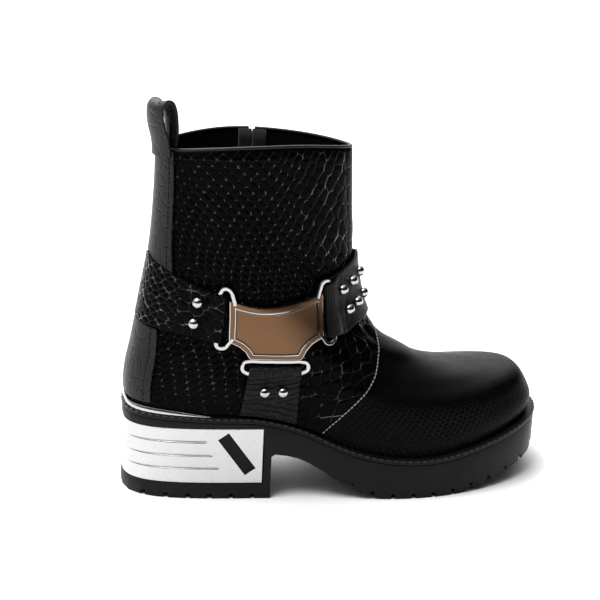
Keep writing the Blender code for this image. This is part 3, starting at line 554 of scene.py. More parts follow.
class Graph:
    """A material's node tree with a Principled shader, built a node at a time."""

    def __init__(self, name: str, **sockets: Any) -> None:
        """Make the material and set constants on the shader's own sockets.

        Args:
            name: Name of the material.
            sockets: Constants by the socket's name, with _ for a space.
        """
        self.material = bpy.data.materials.new(name)
        self.material.use_nodes = True
        self.tree = self.material.node_tree
        self.shader = self.tree.nodes["Principled BSDF"]
        for key, value in sockets.items():
            self.shader.inputs[key.replace("_", " ")].default_value = value

    def add(self, kind: str, inputs: dict[Any, Any] | None = None, **settings: Any) -> bpy.types.Node:
        """Add a node.

        Args:
            kind: Node type without its ShaderNode prefix.
            inputs: Values or sockets for its inputs.
            settings: Attributes of the node.

        Returns:
            The new node.
        """
        node = self.tree.nodes.new("ShaderNode" + kind)
        for key, value in settings.items():
            setattr(node, key, value)
        for key, value in (inputs or {}).items():
            if isinstance(value, Socket):
                self.tree.links.new(value, node.inputs[key])
            else:
                node.inputs[key].default_value = value
        return node

    def math(self, operation: str, *values: Any) -> Socket:
        """Output of a Math node."""
        return self.add("Math", dict(enumerate(values)), operation=operation).outputs[0]

    def remap(self, value: Any, low: float, high: float, first: float, last: float) -> Socket:
        """Output of a smooth Map Range node."""
        inputs = {0: value, 1: low, 2: high, 3: first, 4: last}
        return self.add("MapRange", inputs, interpolation_type="SMOOTHSTEP").outputs[0]

    def attribute(self, name: str) -> bpy.types.Node:
        """A node that reads one of the mesh's own attributes."""
        return self.add("Attribute", attribute_name=name)

    def mix(self, share: Any, first: Colour, last: Colour) -> Socket:
        """Colour between two colours.

        Args:
            share: Socket of the second colour's share.
            first: Colour at 0.
            last: Colour at 1.

        Returns:
            Socket of the colour.
        """
        node = self.add("Mix", data_type="RGBA")
        node.inputs[6].default_value = (*first, 1.0)
        node.inputs[7].default_value = (*last, 1.0)
        self.tree.links.new(share, node.inputs[0])
        return node.outputs[2]

    def noise(self, vector: Any, scale: float, detail: float = 3.0) -> Socket:
        """Height of a noise texture."""
        return self.add("TexNoise", {"Vector": vector, "Scale": scale, "Detail": detail}).outputs[0]

    def blend(self, first: Any, share: float, last: Any) -> Socket:
        """A share of one value and the rest of another."""
        return self.math("MULTIPLY_ADD", first, share, self.math("MULTIPLY", last, 1.0 - share))

    def cells(self, vector: Any, chaos: Any, feature: str) -> Sockets:
        """Outputs of a flat Voronoi texture with unit cells."""
        inputs = {"Vector": vector, "Scale": 1.0, "Randomness": chaos}
        return self.add("TexVoronoi", inputs, voronoi_dimensions="2D", feature=feature).outputs

    def mapped(self, vector: Any, scale: Sequence[float], turn: float = 0.0) -> Socket:
        """Coordinates scaled along each axis and turned about z."""
        inputs = {"Vector": vector, "Rotation": (0.0, 0.0, turn), "Scale": scale}
        return self.add("Mapping", inputs).outputs[0]

    def axes(self, vector: Any) -> Sockets:
        """The three numbers of a vector."""
        return self.add("SeparateXYZ", {0: vector}).outputs

    def object_place(self) -> Socket:
        """Object coordinates."""
        return self.add("TexCoord").outputs["Object"]

    def bump(self, height: Any, strength: float, distance: float, under: Any = None) -> Socket:
        """Normal of a bump, on top of another where one is given.

        Args:
            height: Socket of the height.
            strength: Strength of the bump.
            distance: Height of a whole step, in metres.
            under: Socket of the normal below it.

        Returns:
            Socket of the normal.
        """
        inputs = {"Height": height, "Strength": strength, "Distance": distance}
        if under is not None:
            inputs["Normal"] = under
        return self.add("Bump", inputs).outputs[0]

    def wire(self, **sockets: Any) -> Material:
        """Link sockets to the shader.

        Args:
            sockets: Sockets by the name of the shader's own, with _ for a space.

        Returns:
            The finished material.
        """
        for key, value in sockets.items():
            self.tree.links.new(value, self.shader.inputs[key.replace("_", " ")])
        return self.material


class Pattern(Enum):
    """What is pressed into a leather."""

    SCALES = "scales"
    RIBS = "ribs"
    RIPPLES = "ripples"
    LATTICE = "lattice"


@dataclass(frozen=True)
class LeatherFinish:
    """Embossed leather with a clear glaze."""

    name: str
    dark: Colour
    light: Colour
    rough: float
    coat: float
    coat_rough: float
    pattern: Pattern
    depth: float
    specular: float = 0.03
    groove: float = 0.55
    pillow: float = 0.3
    glint: float = 1.0
    plate_tall: float = 11.0
    plate_reach: float = 8.5
    plate_waver: float = 9.0

    def material(self) -> Material:
        """Build the node material.

        Returns:
            The material.
        """
        graph = Graph(self.name, Coat_Roughness=self.coat_rough, Specular_IOR_Level=self.specular)
        place = graph.object_place()
        fine = graph.bump(graph.noise(place, 1400.0, 4.0), 0.08, 0.00025)
        cloud = graph.noise(place, 38.0, 2.0)
        if self.pattern is Pattern.SCALES:
            height, tone, rim = self.scale_height(graph, place)
            coat = graph.remap(rim, 0.0, 1.0, self.coat, self.glint)
            shade = graph.blend(tone, 0.6, cloud)
        else:
            height = self.strip_height(graph, graph.attribute("strip").outputs["Vector"])
            # Here the colour follows the pressed height: the grooves of ribs, ripples and lattice cracks
            # carry painted shade, and the ridges are coloured lighter.
            shade = graph.blend(height, 0.5, cloud)
            coat = graph.remap(cloud, 0.2, 0.8, self.coat * 0.7, self.coat * 1.3)
        rough = graph.remap(shade, 0.0, 1.0, self.rough - 0.06, self.rough + 0.08)
        crisp = graph.bump(height, 1.0, self.depth * MM, fine)
        tint = graph.mix(shade, self.dark, self.light)
        return graph.wire(Base_Color=tint, Roughness=rough, Normal=crisp, Coat_Weight=coat, Coat_Normal=crisp)

    def scale_height(self, graph: Graph, place: Any) -> tuple[Socket, ...]:
        """Height of scales from the mesh's own cell places, with wide plates near the front line.

        Args:
            graph: The material's graph.
            place: Socket of the Object coordinates.

        Returns:
            Sockets of a height, of each cell's own tone and of a mask of the scales' rims.
        """
        cell = graph.attribute("cell").outputs["Vector"]
        unit = graph.axes(cell)[2]
        press = graph.axes(graph.attribute("press").outputs["Vector"])
        strong, chaos, front = press[0], press[1], press[2]
        lines = graph.cells(cell, chaos, "DISTANCE_TO_EDGE")["Distance"]
        nearest = graph.cells(cell, chaos, "F1")
        edge = graph.math("MULTIPLY", lines, unit)
        wave = graph.noise(place, 55.0, 1.0)
        rise = graph.math("MULTIPLY", graph.axes(place)[2], 1000.0)
        band = graph.math("MULTIPLY_ADD", rise, 1 / self.plate_tall, graph.math("MULTIPLY", wave, 1.1))
        band = graph.math("MULTIPLY", graph.math("PINGPONG", band, 0.5), self.plate_tall)
        limit = graph.math("MULTIPLY_ADD", wave, self.plate_waver, self.plate_reach)
        inside = graph.math("LESS_THAN", front, limit)
        far = graph.math("MULTIPLY", graph.math("ABSOLUTE", graph.math("SUBTRACT", front, limit)), 1.6)
        edge = graph.math("MULTIPLY_ADD", inside, graph.math("SUBTRACT", band, edge), edge)
        edge = graph.math("MINIMUM", edge, far)
        flat = graph.remap(edge, 0.05, self.groove, 0.0, 1.0)
        pillow = graph.remap(edge, 0.0, 2.6, 0.0, 1.0)
        height = graph.math("MULTIPLY_ADD", pillow, self.pillow, flat)
        corner = graph.remap(nearest["Distance"], 0.56, 0.68, 0.0, 1.0)
        corner = graph.math("MAXIMUM", corner, graph.remap(chaos, 0.2, 0.6, 0.1, 0.22))
        rim = graph.remap(edge, 0.15, self.groove + 0.1, 1.0, 0.0)
        rim = graph.math("MULTIPLY", rim, graph.math("MULTIPLY", strong, corner))
        return graph.math("MULTIPLY", height, strong), nearest["Color"], rim

    def strip_height(self, graph: Graph, strip: Any) -> Socket:
        """Height of what is pressed into a strip, from its own millimetres along and across.

        Args:
            graph: The material's graph.
            strip: Socket of the strip's along and across.

        Returns:
            Socket of a height from 0 to 1.
        """
        if self.pattern is Pattern.LATTICE:
            slant = graph.mapped(strip, (0.11, 0.19, 1.0), 0.6)
            crack = graph.cells(slant, 0.85, "DISTANCE_TO_EDGE")
            return graph.remap(crack["Distance"], 0.0, 0.11, 0.0, 1.0)
        along = graph.axes(strip)[0]
        wave = graph.noise(strip, 0.35, 2.0)
        if self.pattern is Pattern.RIBS:
            line = graph.math("MULTIPLY_ADD", wave, 1.6, graph.math("MULTIPLY", along, 0.8))
        else:
            line = graph.math("MULTIPLY_ADD", wave, 1.5, graph.math("MULTIPLY", along, 0.27))
        broken = graph.noise(graph.mapped(strip, (1.0, 0.25, 1.0)), 0.8, 3.0)
        ridge = graph.math("PINGPONG", line, 0.5)
        return graph.blend(graph.remap(ridge, 0.02, 0.34, 0.0, 1.0), 0.75, broken)


@dataclass(frozen=True)
class MetalFinish:
    """Polished metal with a faint brushed haze."""

    name: str
    colour: Colour
    shadow: Colour
    rough: float
    grain: tuple[float, float, float]

    def material(self) -> Material:
        """Build the node material.

        Returns:
            The material.
        """
        graph = Graph(self.name, Metallic=1.0)
        place = graph.object_place()
        hair = graph.noise(graph.mapped(place, self.grain), 900.0, 3.0)
        cloud = graph.noise(place, 60.0, 2.0)
        haze = graph.remap(cloud, 0.2, 0.8, self.rough - 0.03, self.rough + 0.04)
        rough = graph.math("MULTIPLY_ADD", hair, 0.08, haze)
        colour = graph.mix(cloud, self.shadow, self.colour)
        return graph.wire(Base_Color=colour, Roughness=rough, Normal=graph.bump(hair, 0.06, 0.0001))


@dataclass(frozen=True)
class RubberFinish:
    """Moulded rubber with a fine grain, dusty low down."""

    name: str
    dark: Colour
    light: Colour
    rough: float
    grain: float

    def material(self) -> Material:
        """Build the node material.

        Returns:
            The material.
        """
        graph = Graph(self.name, Specular_IOR_Level=0.12)
        place = graph.object_place()
        grain = graph.noise(place, self.grain, 4.0)
        cloud = graph.noise(place, 45.0, 4.0)
        low = graph.remap(graph.axes(place)[2], 0.0, 0.012, 1.0, 0.0)
        dust = graph.math("MULTIPLY", low, graph.remap(cloud, 0.35, 0.7, 0.0, 1.0))
        shade = graph.blend(dust, 0.55, cloud)
        tint = graph.mix(shade, self.dark, self.light)
        rough = graph.remap(shade, 0.0, 1.0, self.rough - 0.06, self.rough + 0.2)
        return graph.wire(Base_Color=tint, Roughness=rough, Normal=graph.bump(grain, 0.22, 0.0003))


@dataclass(frozen=True)
class ClothFinish:
    """Woven cloth, thread or soft lining with a weave across Object coordinates."""

    name: str
    dark: Colour
    light: Colour
    rough: float
    threads: float
    specular: float = 0.3
    sheen: float = 0.15

    def material(self) -> Material:
        """Build the node material.

        Returns:
            The material.
        """
        graph = Graph(
            self.name, Specular_IOR_Level=self.specular, Sheen_Weight=self.sheen, Sheen_Roughness=0.5
        )
        place = graph.object_place()
        axes = graph.axes(place)
        one = graph.math("SINE", graph.math("MULTIPLY", graph.math("ADD", axes[0], axes[1]), self.threads))
        two = graph.math("SINE", graph.math("MULTIPLY", axes[2], self.threads))
        weave = graph.remap(graph.math("MULTIPLY", one, two), -1.0, 1.0, 0.0, 1.0)
        cloud = graph.noise(place, 90.0, 3.0)
        shade = graph.blend(weave, 0.5, cloud)
        return graph.wire(
            Base_Color=graph.mix(shade, self.dark, self.light),
            Roughness=graph.remap(cloud, 0.2, 0.8, self.rough - 0.08, self.rough + 0.08),
            Normal=graph.bump(weave, 0.35, 0.0002),
        )


GLAZED = LeatherFinish(
    "glazed_scale_leather", (0.0006, 0.0006, 0.0006), (0.0022, 0.002, 0.0021),
    rough=0.22, coat=0.015, coat_rough=0.08,
    pattern=Pattern.SCALES, depth=0.8, specular=0.016,
)
VAMP_LEATHER = LeatherFinish(
    "vamp_leather", (0.0004, 0.0004, 0.0005), (0.0013, 0.0013, 0.0015),
    rough=0.4, coat=0.01, coat_rough=0.3,
    pattern=Pattern.SCALES, depth=0.26, specular=0.048, groove=0.9, pillow=0.4, glint=0.05,
)
STRAP_LEATHER = LeatherFinish(
    "strap_scale_leather", (0.0006, 0.0006, 0.0006), (0.0022, 0.0021, 0.0021),
    rough=0.25, coat=0.02, coat_rough=0.08,
    pattern=Pattern.SCALES, depth=0.8, specular=0.02,
)
STRAP_RIBS = LeatherFinish(
    "strap_ribbed_leather", (0.002, 0.002, 0.0022), (0.0085, 0.0085, 0.0088),
    rough=0.36, coat=0.08, coat_rough=0.15,
    pattern=Pattern.RIBS, depth=0.5, specular=0.095,
)
STRAP_RIPPLES = LeatherFinish(
    "strap_rippled_leather", (0.002, 0.002, 0.0022), (0.0095, 0.0095, 0.0097),
    rough=0.36, coat=0.055, coat_rough=0.15,
    pattern=Pattern.RIPPLES, depth=1.2, specular=0.085,
)
BACK_STRIP = LeatherFinish(
    "back_strip_leather", (0.006, 0.006, 0.0063), (0.014, 0.014, 0.0146),
    rough=0.4, coat=0.08, coat_rough=0.25,
    pattern=Pattern.LATTICE, depth=0.3, specular=0.12,
)
CHROME = MetalFinish("bright_chrome", (0.5, 0.49, 0.485), (0.4, 0.395, 0.395), 0.12, (1.0, 1.0, 1.0))
BRUSHED = MetalFinish("heel_steel", (0.55, 0.547, 0.547), (0.48, 0.477, 0.48), 0.22, (0.08, 0.08, 1.0))
# The plate's face is chrome tinted copper-brown. The tint is a painted reflection of a brown object near the
# boot, and its edges stay plain chrome.
PAINTED_REFLECTION_FACE = MetalFinish("painted_brown_reflection_face", (0.16, 0.089, 0.049), (0.135, 0.072, 0.038), 0.36, (0.1, 1.0, 1.0))
# Darker, duller metal laid on the floor of the groove round the plate's panel.
DARK_GROOVE = MetalFinish("dark_groove_line", (0.10, 0.07, 0.05), (0.05, 0.035, 0.025), 0.4, (1.0, 1.0, 1.0))
SOLE = RubberFinish("sole_rubber", (0.0035, 0.0035, 0.0038), (0.011, 0.011, 0.0115), 0.46, 900.0)
WELT = RubberFinish("welt_rubber", (0.0025, 0.0025, 0.0028), (0.008, 0.008, 0.0084), 0.42, 1300.0)
LINING = ClothFinish(
    "lining_cloth", (0.001, 0.001, 0.001), (0.0035, 0.0033, 0.0033), 0.75, 5200.0, specular=0.06, sheen=0.03
)
INSOLE = ClothFinish("insole_board", (0.012, 0.011, 0.011), (0.03, 0.028, 0.027), 0.7, 3600.0)
TAPE = ClothFinish("zip_tape_cloth", (0.004, 0.004, 0.004), (0.013, 0.013, 0.013), 0.8, 7000.0)
THREAD = ClothFinish(
    "black_thread", (0.0015, 0.0015, 0.0015), (0.005, 0.005, 0.005), 0.5, 9000.0, specular=0.08, sheen=0.02
)
WELT_THREAD = ClothFinish(
    "waxed_thread", (0.009, 0.009, 0.009), (0.035, 0.035, 0.035), 0.45, 9000.0, specular=0.2, sheen=0.05
)
# Pale grey thread. Its lightness is partly the thread's own grey and partly a painted highlight of the
# quarters' cut edge along the seam.
PALE_THREAD_EDGE_HIGHLIGHT = ClothFinish("grey_thread_and_painted_edge_highlight", (0.10, 0.10, 0.10), (0.3, 0.3, 0.3), 0.5, 9000.0)
Finish = LeatherFinish | MetalFinish | RubberFinish | ClothFinish


# Mesh tools


@dataclass(frozen=True)
class StitchRow:
    """Stitches: their distance, length and thickness and the share of it under the surface."""

    pitch: float
    long: float
    wide: float
    sink: float = 0.3


COLLAR_ROW = StitchRow(3.0, 2.3, 0.45, 0.6)
SEAM_ROW = StitchRow(2.5, 2.2, 0.85)
BACK_ROW = StitchRow(2.8, 2.2, 0.5)
WELT_ROW = StitchRow(4.4, 3.3, 0.9, 0.5)


@dataclass
class Workshop:
    """Makes meshes with bmesh operators and puts them in the scene."""

    finishes: dict[str, Material] = field(default_factory=dict)

    def finish(self, finish: Finish) -> Material:
        """The material of a finish, built once.

        Args:
            finish: The finish.

        Returns:
            Its material.
        """
        if finish.name not in self.finishes:
            self.finishes[finish.name] = finish.material()
        return self.finishes[finish.name]

    def grid(self, points: Array, values: dict[str, Array] | None = None) -> Mesh:
        """A grid of faces laid through rows of points.

        Args:
            points: Grid of points in millimetres, rows by columns.
            values: Attributes to carry, each a grid of numbers or of vectors.

        Returns:
            A bmesh in metres in the row frame.
        """
        rows, columns = points.shape[:2]
        bm = bmesh.new()
        bmesh.ops.create_grid(bm, x_segments=columns - 1, y_segments=rows - 1, size=1.0)
        mesh = bpy.data.meshes.new("grid")
        bm.to_mesh(mesh)
        bm.free()
        spots = np.empty(len(mesh.vertices) * 3, np.float32)
        mesh.vertices.foreach_get("co", spots)
        spots = spots.reshape(-1, 3)
        j = np.rint((spots[:, 0] + 1) / 2 * (columns - 1)).astype(int)
        i = np.rint((spots[:, 1] + 1) / 2 * (rows - 1)).astype(int)
        mesh.vertices.foreach_set("co", ((points[i, j] + SHIFT) * MM).astype(np.float32).ravel())
        for name, grid in (values or {}).items():
            kind, key = ("FLOAT", "value") if grid.ndim == 2 else ("FLOAT_VECTOR", "vector")
            layer = mesh.attributes.new(name, kind, "POINT")
            layer.data.foreach_set(key, grid[i, j].astype(np.float32).ravel())
        made = bmesh.new()
        made.from_mesh(mesh)
        bpy.data.meshes.remove(mesh)
        return made

    def join(self, parts: Sequence[Mesh]) -> Mesh:
        """Put several bmeshes into one.

        Args:
            parts: The bmeshes, which are freed.

        Returns:
            One bmesh.
        """
        whole = bmesh.new()
        for part in parts:
            mesh = bpy.data.meshes.new("part")
            part.to_mesh(mesh)
            part.free()
            whole.from_mesh(mesh)
            bpy.data.meshes.remove(mesh)
        return whole

    def weld(self, bm: Mesh, apart: float = 0.002) -> None:
        """Merge vertices closer than a distance in millimetres."""
        bmesh.ops.remove_doubles(bm, verts=bm.verts[:], dist=apart * MM)

    def piece(
        self, name: str, bm: Mesh, finishes: Sequence[Finish], nodes: Iterable[str]
    ) -> Thing:
        """Finish a piece: put it in the scene, smooth it and let it ride.

        Args:
            name: Name of the piece.
            bm: Its mesh, which is freed.
            finishes: Finishes in the order of its faces' material numbers.
            nodes: Solids that it stands for.

        Returns:
            The new object.
        """
        mesh = bpy.data.meshes.new(name)
        bm.to_mesh(mesh)
        bm.free()
        mesh.shade_smooth()
        for finish in finishes:
            mesh.materials.append(self.finish(finish))
        thing = bpy.data.objects.new(name, mesh)
        bpy.context.scene.collection.objects.link(thing)
        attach(thing, BODY)
        nodes = list(nodes)
        if nodes:
            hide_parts(*nodes)
        LOG.info("%s: %d faces", name, len(mesh.polygons))
        return thing

    def ribbon(
        self, centre: Array, thick: float, lip: float = 0.7, values: dict[str, Array] | None = None
    ) -> Mesh:
        """A closed strip with rounded edges about a middle surface.

        Args:
            centre: Grid of points, along by across.
            thick: Thickness of the strip.
            lip: Width over which its edges round off.
            values: More attributes to carry, along by across.

        Returns:
            A closed bmesh.
        """
        normal = unit(np.cross(np.gradient(centre, axis=0), np.gradient(centre, axis=1)))
        along, across = lengths(centre, 0), lengths(centre, 1)
        near = np.minimum(across, across[:, -1:] - across)
        half = thick / 2 * np.sqrt(np.clip(1 - np.clip(1 - near / lip, 0, 1) ** 2, 0.0, 1))[..., None]
        loop = np.concatenate([centre + normal * half, (centre - normal * half)[:, ::-1]], axis=1)
        loop = np.concatenate([loop, loop[:, :1]], axis=1)
        carried = {"strip": np.stack([along, across, np.zeros_like(along)], axis=2), **(values or {})}
        for name, grid in carried.items():
            carried[name] = np.concatenate([grid, grid[:, ::-1], grid[:, :1]], axis=1)
        bm = self.grid(loop, carried)
        self.close(bm)
        return bm

    def close(self, bm: Mesh) -> None:
        """Weld a rolled-up grid, fill its ends and turn its faces outwards.

        Args:
            bm: The grid's mesh.
        """
        self.weld(bm)
        rims = [edge for edge in bm.edges if edge.is_boundary]
        if rims:
            bmesh.ops.holes_fill(bm, edges=rims, sides=0)
        bm.normal_update()
        bmesh.ops.recalc_face_normals(bm, faces=bm.faces[:])

    def tube(self, path: Array, out: Array, section: Array, ring: bool = False) -> Mesh:
        """A bar of one section along a path.

        Args:
            path: Points of the path.
            out: Directions at those points that the section's second axis follows.
            section: Points of the section, across and out.
            ring: Whether the path closes on itself.

        Returns:
            A closed bmesh.
        """
        if ring:
            path = np.vstack([path, path[:1]])
            out = np.vstack([out, out[:1]])
            along = np.roll(path[:-1], -1, axis=0) - np.roll(path[:-1], 1, axis=0)
            along = np.vstack([along, along[:1]])
        else:
            along = np.gradient(path, axis=0)
        along = unit(along)
        side = unit(np.cross(along, out))
        up = np.cross(side, along)
        section = np.vstack([section, section[:1]])
        loops = path[:, None] + side[:, None] * section[None, :, :1] + up[:, None] * section[None, :, 1:]
        bm = self.grid(loops)
        self.close(bm)
        return bm

    def stitches(self, path: Array, out: Array, row: StitchRow) -> Mesh:
        """Thread stitches laid along a path, each a short rounded bar.

        Args:
            path: Points of the path.
            out: Outward directions at those points.
            row: Sizes of the stitches.

        Returns:
            One bmesh with all the stitches.
        """
        run = distance_along(path)
        at = np.arange(row.pitch / 2, run[-1], row.pitch)
        ways = read_path(at + 0.5, run, path) - read_path(at - 0.5, run, path)
        sizes = (row.long / 2, row.wide / 2, row.wide / 2)
        bm = bmesh.new()
        for spot, way, up in zip(read_path(at, run, path), ways, read_path(at, run, out)):
            x = Vector(way).normalized()
            y = Vector(up).cross(x).normalized()
            z = x.cross(y)
            middle = to_frame(spot) + z * row.wide * MM * (0.5 - row.sink)
            bmesh.ops.create_icosphere(bm, subdivisions=2, radius=1.0, matrix=seat(middle, (x, y, z), sizes))
        return bm

    def soft_edges(self, thing: Thing, width: float, angle: float) -> None:
        """Round a piece's sharp edges with a bevel.

        Args:
            thing: The piece.
            width: Width of the bevel in millimetres.
            angle: Degrees from which an edge is sharp.
        """
        soft = thing.modifiers.new("soft_edges", "BEVEL")
        soft.width = width * MM
        soft.segments = 2
        soft.limit_method = "ANGLE"
        soft.angle_limit = math.radians(angle)

    def dress(self, thing: Thing, finish: Finish, width: float, angle: float) -> None:
        """Give a kept solid its finish and soft edges.

        Args:
            thing: The solid's object.
            finish: Its finish.
            width: Width of the bevel in millimetres.
            angle: Degrees from which an edge is sharp.
        """
        thing.data.materials.clear()
        thing.data.materials.append(self.finish(finish))
        weld = thing.modifiers.new("weld", "WELD")
        weld.merge_threshold = 0.01 * MM
        self.soft_edges(thing, width, angle)
        LOG.info("%s: kept solid", thing.name)


# Embossing


@dataclass(frozen=True)
class Lattice:
    """Where scales lie: staggered diamonds whose width and height change along one axis."""

    at: tuple[float, ...]
    wide: tuple[float, ...]
    tall: tuple[float, ...]
    chaos: tuple[float, ...]
    level: float = 0.0

    def cells(self, a: Array, b: Array) -> Array:
        """Cell places for the shader.

        Args:
            a: Distances along the axis on which the sizes change.
            b: Distances across it.

        Returns:
            For each place two cell places, in which each cell is one unit, and a unit's size.
        """
        knots = np.linspace(self.at[0], self.at[-1], 600)
        step = np.diff(knots) / np.interp((knots[1:] + knots[:-1]) / 2, self.at, self.wide)
        run = np.concatenate([[0], np.cumsum(step)])
        wide, tall = np.interp(a, self.at, self.wide), np.interp(a, self.at, self.tall)
        along, up = np.interp(a, knots, run), (b - self.level) / tall
        return np.stack([along + up, along - up, wide * tall / np.hypot(wide, tall)], axis=-1)

    def press(self, a: Array, strong: Any, front: Any) -> Array:
        """How strongly the scales are pressed, how ragged they are and how far the front line is.

        Args:
            a: Distances along the axis on which the sizes change.
            strong: Strength from 0 to 1.
            front: Distance from the front line.

        Returns:
            The three numbers for each place.
        """
        chaos = np.interp(a, self.at, self.chaos)
        return np.stack([np.broadcast_to(strong, a.shape), chaos, np.broadcast_to(front, a.shape)], axis=-1)


QUARTER_SCALES = Lattice(
    at=(-30.0, 14.0, 30.0, 60.0, 220.0),
    wide=(14.0, 11.0, 9.5, 7.2, 7.0),
    tall=(12.0, 11.0, 9.8, 7.5, 7.2),
    chaos=(0.7, 0.65, 0.5, 0.2, 0.15),
    level=150.0,
)
VAMP_SCALES = Lattice((0.0, 640.0), (4.3, 4.3), (4.6, 4.6), (0.35, 0.35))
STRAP_SCALES = Lattice(
    at=(0.0, 95.0, 135.0, 320.0),
    wide=(6.0, 6.0, 9.5, 9.5),
    tall=(5.0, 5.0, 8.0, 8.0),
    chaos=(0.5, 0.5, 0.85, 0.85),
)
# Distance from a front line on leather that has none
NO_FRONT = 1000.0

CREASES = tuple(Crease(*row) for row in (
    (158, 66, 168, 82, -0.25, 6.0), (194, 50, 205, 62, -0.2, 8.0), (178, 56, 192, 68, 0.12, 14.0),
    (118, 150, 137, 143, -0.5, 5.5), (121, 160, 136, 154, 0.3, 4.5), (30, 152, 62, 146, -0.45, 7.0),
    (26, 176, 70, 171, 0.25, 9.0),
))


def crease_lift(points: Array) -> Array:
    """Lift of the soft troughs and ridges at points, the same on both sides.

    Args:
        points: Grid of points in millimetres.

    Returns:
        Lifts.
    """
    x, z = points[..., 0], points[..., 2]
    lift = np.zeros_like(x)
    for row in CREASES:
        ax, az = row.x_to - row.x_from, row.z_to - row.z_from
        share = ((x - row.x_from) * ax + (z - row.z_from) * az) / (ax * ax + az * az)
        held = np.clip(share, 0, 1)
        away = np.hypot(x - row.x_from - held * ax, z - row.z_from - held * az)
        lift += row.depth * np.exp(-((away / row.width) ** 2)) * (1 - 0.6 * (2 * held - 1) ** 2)
    return lift


# The upper


@dataclass
class Zip:
    """The zip on the inner side: its line, slit, tapes and teeth, and the slider and pull it keeps."""

    x: float = 78.0
    low: float = 74.0
    slit_half: float = 3.5
    samples: int = 48
    tape_gap: float = 0.15
    tape_half: float = 8.5
    tape_thick: float = 0.8
    tape_depth: float = 0.75
    tape_rise: float = 3.0
    tooth_pitch: float = 1.9
    tooth_size: tuple[float, float, float] = (2.7, 1.15, 1.7)
    tooth_aside: float = 0.75
    tooth_depth: float = 1.35
    tooth_bevel: float = 0.22
    wall: float = 2.4

    def line(self, t: Any) -> Array:
        """Where the zip's middle line lies.

        Args:
            t: Shares up the upper.

        Returns:
            Shares u.
        """
        rises = np.linspace(self.low - 10, 203.0, self.samples)
        spots = [LAST.place(self.x, float(z), Side.INNER) for z in rises]
        return np.interp(t, [spot[1] for spot in spots], [spot[0] for spot in spots])

    def low_t(self) -> float:
        """Share t of the slit's lower end."""
        return LAST.place(self.x, self.low, Side.INNER)[1]

    def points(self, t: Array, across: Array, lift: float) -> Array:
        """Points beside the middle line.

        Args:
            t: Shares up the upper.
            across: Millimetres towards the toe.
            lift: Distance off the outer face.

        Returns:
            Grid of points, along by across.
        """
        u = self.line(t)
        shares = u[:, None] - across[None] / LAST.pitch(u, t)[:, None]
        return LAST.skin(shares, t[:, None], lift)

    def build(self, shop: Workshop) -> None:
        """Model the tapes and the two rows of teeth.

        Args:
            shop: The workshop.
        """
        t = np.linspace(self.low_t() - 0.03, 0.992, 90)
        tapes = []
        for side in (-1, 1):
            across = np.linspace(self.tape_gap, self.tape_half, 9) * side
            centre = self.points(t, across, -self.wall - self.tape_depth)
            centre[-1, :, 2] += self.tape_rise
            tapes.append(shop.ribbon(centre, self.tape_thick, lip=0.3))
        whole = shop.join([*tapes, self.teeth()])
        shop.piece("zip_tapes", whole, [TAPE, CHROME], ["zip_tape"])

    def teeth(self) -> Mesh:
        """Two rows of teeth that meet on the middle line.

        Returns:
            One bmesh with every tooth.
        """
        t = np.linspace(self.low_t() + 0.004, 0.997, 300)
        middle = self.points(t, np.array([0.0]), -self.tooth_depth)[:, 0]
        beside = self.points(t, np.array([1.0]), -self.tooth_depth)[:, 0]
        over = self.points(t, np.array([0.0]), 1.0 - self.tooth_depth)[:, 0]
        run = distance_along(middle)
        bm = bmesh.new()
        for k, at in enumerate(np.arange(0.6, run[-1], self.tooth_pitch / 2)):
            foot = read_path(at, run, middle)
            x = Vector(read_path(at, run, beside) - foot).normalized()
            z = Vector(read_path(at, run, over) - foot).normalized()
            side = 1 if k % 2 else -1
            spot = to_frame(foot) + x * side * self.tooth_aside * MM
            bmesh.ops.create_cube(bm, size=1.0, matrix=seat(spot, (x, z.cross(x), z), self.tooth_size))
        wide = self.tooth_bevel * MM
        bmesh.ops.bevel(
            bm, geom=bm.edges[:], offset=wide, segments=1, profile=0.5, affect="EDGES", material=-1
        )
        for face in bm.faces:
            face.material_index = 1
        return bm

    def dress(self, shop: Workshop, nodes: Nodes) -> None:
        """Give the slider and the pull soft edges and their finish."""
        for name in ("zip_slider", "zip_pull"):
            shop.dress(nodes[name], CHROME, 0.2, 50)


